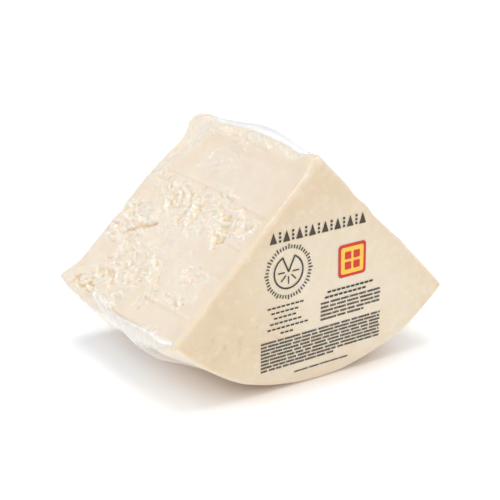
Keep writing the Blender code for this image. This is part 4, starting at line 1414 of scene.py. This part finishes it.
def studio_world():
    """A white studio, brighter in front of the wedge than behind and above it."""
    world = bpy.data.worlds.new("studio")
    bpy.context.scene.world = world
    world.use_nodes = True
    t = world.node_tree
    background = t.nodes["Background"]
    direction = t.nodes.new("ShaderNodeTexCoord").outputs["Generated"]
    split = t.nodes.new("ShaderNodeSeparateXYZ")
    t.links.new(direction, split.inputs[0])
    front = maths(t, "MAXIMUM", maths(t, "MULTIPLY", split.outputs["Y"], -1.0), 0.0)
    left = maths(t, "MAXIMUM", maths(t, "MULTIPLY", split.outputs["X"], -1.0), 0.0)
    background.inputs["Color"].default_value = (0.985, 0.992, 1.0, 1)
    glow = maths(t, "ADD", maths(t, "MULTIPLY", front, WORLD_FRONT),
                 maths(t, "ADD", maths(t, "MULTIPLY", left, WORLD_LEFT), WORLD_ALL))
    t.links.new(glow, background.inputs["Strength"])
    # the backdrop itself is plain white
    backdrop = t.nodes.new("ShaderNodeBackground")
    backdrop.inputs["Strength"].default_value = 1.05
    seen = t.nodes.new("ShaderNodeLightPath").outputs["Is Camera Ray"]
    both = t.nodes.new("ShaderNodeMixShader")
    t.links.new(seen, both.inputs[0])
    t.links.new(background.outputs[0], both.inputs[1])
    t.links.new(backdrop.outputs[0], both.inputs[2])
    t.links.new(both.outputs[0], t.nodes["World Output"].inputs["Surface"])


WORLD_ALL, WORLD_FRONT, WORLD_LEFT = 0.42, 0.84, 0.35
studio_world()


def sun(name, towards, strength, angle):
    data = bpy.data.lights.new(name, "SUN")
    data.energy = strength
    data.angle = math.radians(angle)
    o = bpy.data.objects.new(name, data)
    bpy.context.scene.collection.objects.link(o)
    o.rotation_mode = "QUATERNION"
    o.rotation_quaternion = Vector(towards).to_track_quat("Z", "Y")
    o.location = Vector(towards) * 2
    return o


sun("softbox_top", (0.02, 0.05, 1.0), 1.45, 38)
sun("softbox_left", (-0.45, 0.52, 0.73), 0.20, 11)

CAMERA = np.array([-512.52, -670.41, 391.93])
YAW, PITCH = 0.59942, -0.34462
cam_data = bpy.data.cameras.new("camera")
cam_data.sensor_width = 36.0
cam_data.lens = 1412.0 / 500.0 * 36.0
cam_data.clip_start, cam_data.clip_end = 0.01, 50.0
cam = bpy.data.objects.new("camera", cam_data)
bpy.context.scene.collection.objects.link(cam)
cam.location = place(CAMERA)
look = Vector((math.sin(YAW) * math.cos(PITCH), math.cos(YAW) * math.cos(PITCH), math.sin(PITCH)))
cam.rotation_mode = "QUATERNION"
cam.rotation_quaternion = look.to_track_quat("-Z", "Y")
bpy.context.scene.camera = cam

view = bpy.context.scene.view_settings
view.view_transform = "Standard"
view.look = "None"
view.exposure = 0.0
view.gamma = 1.0
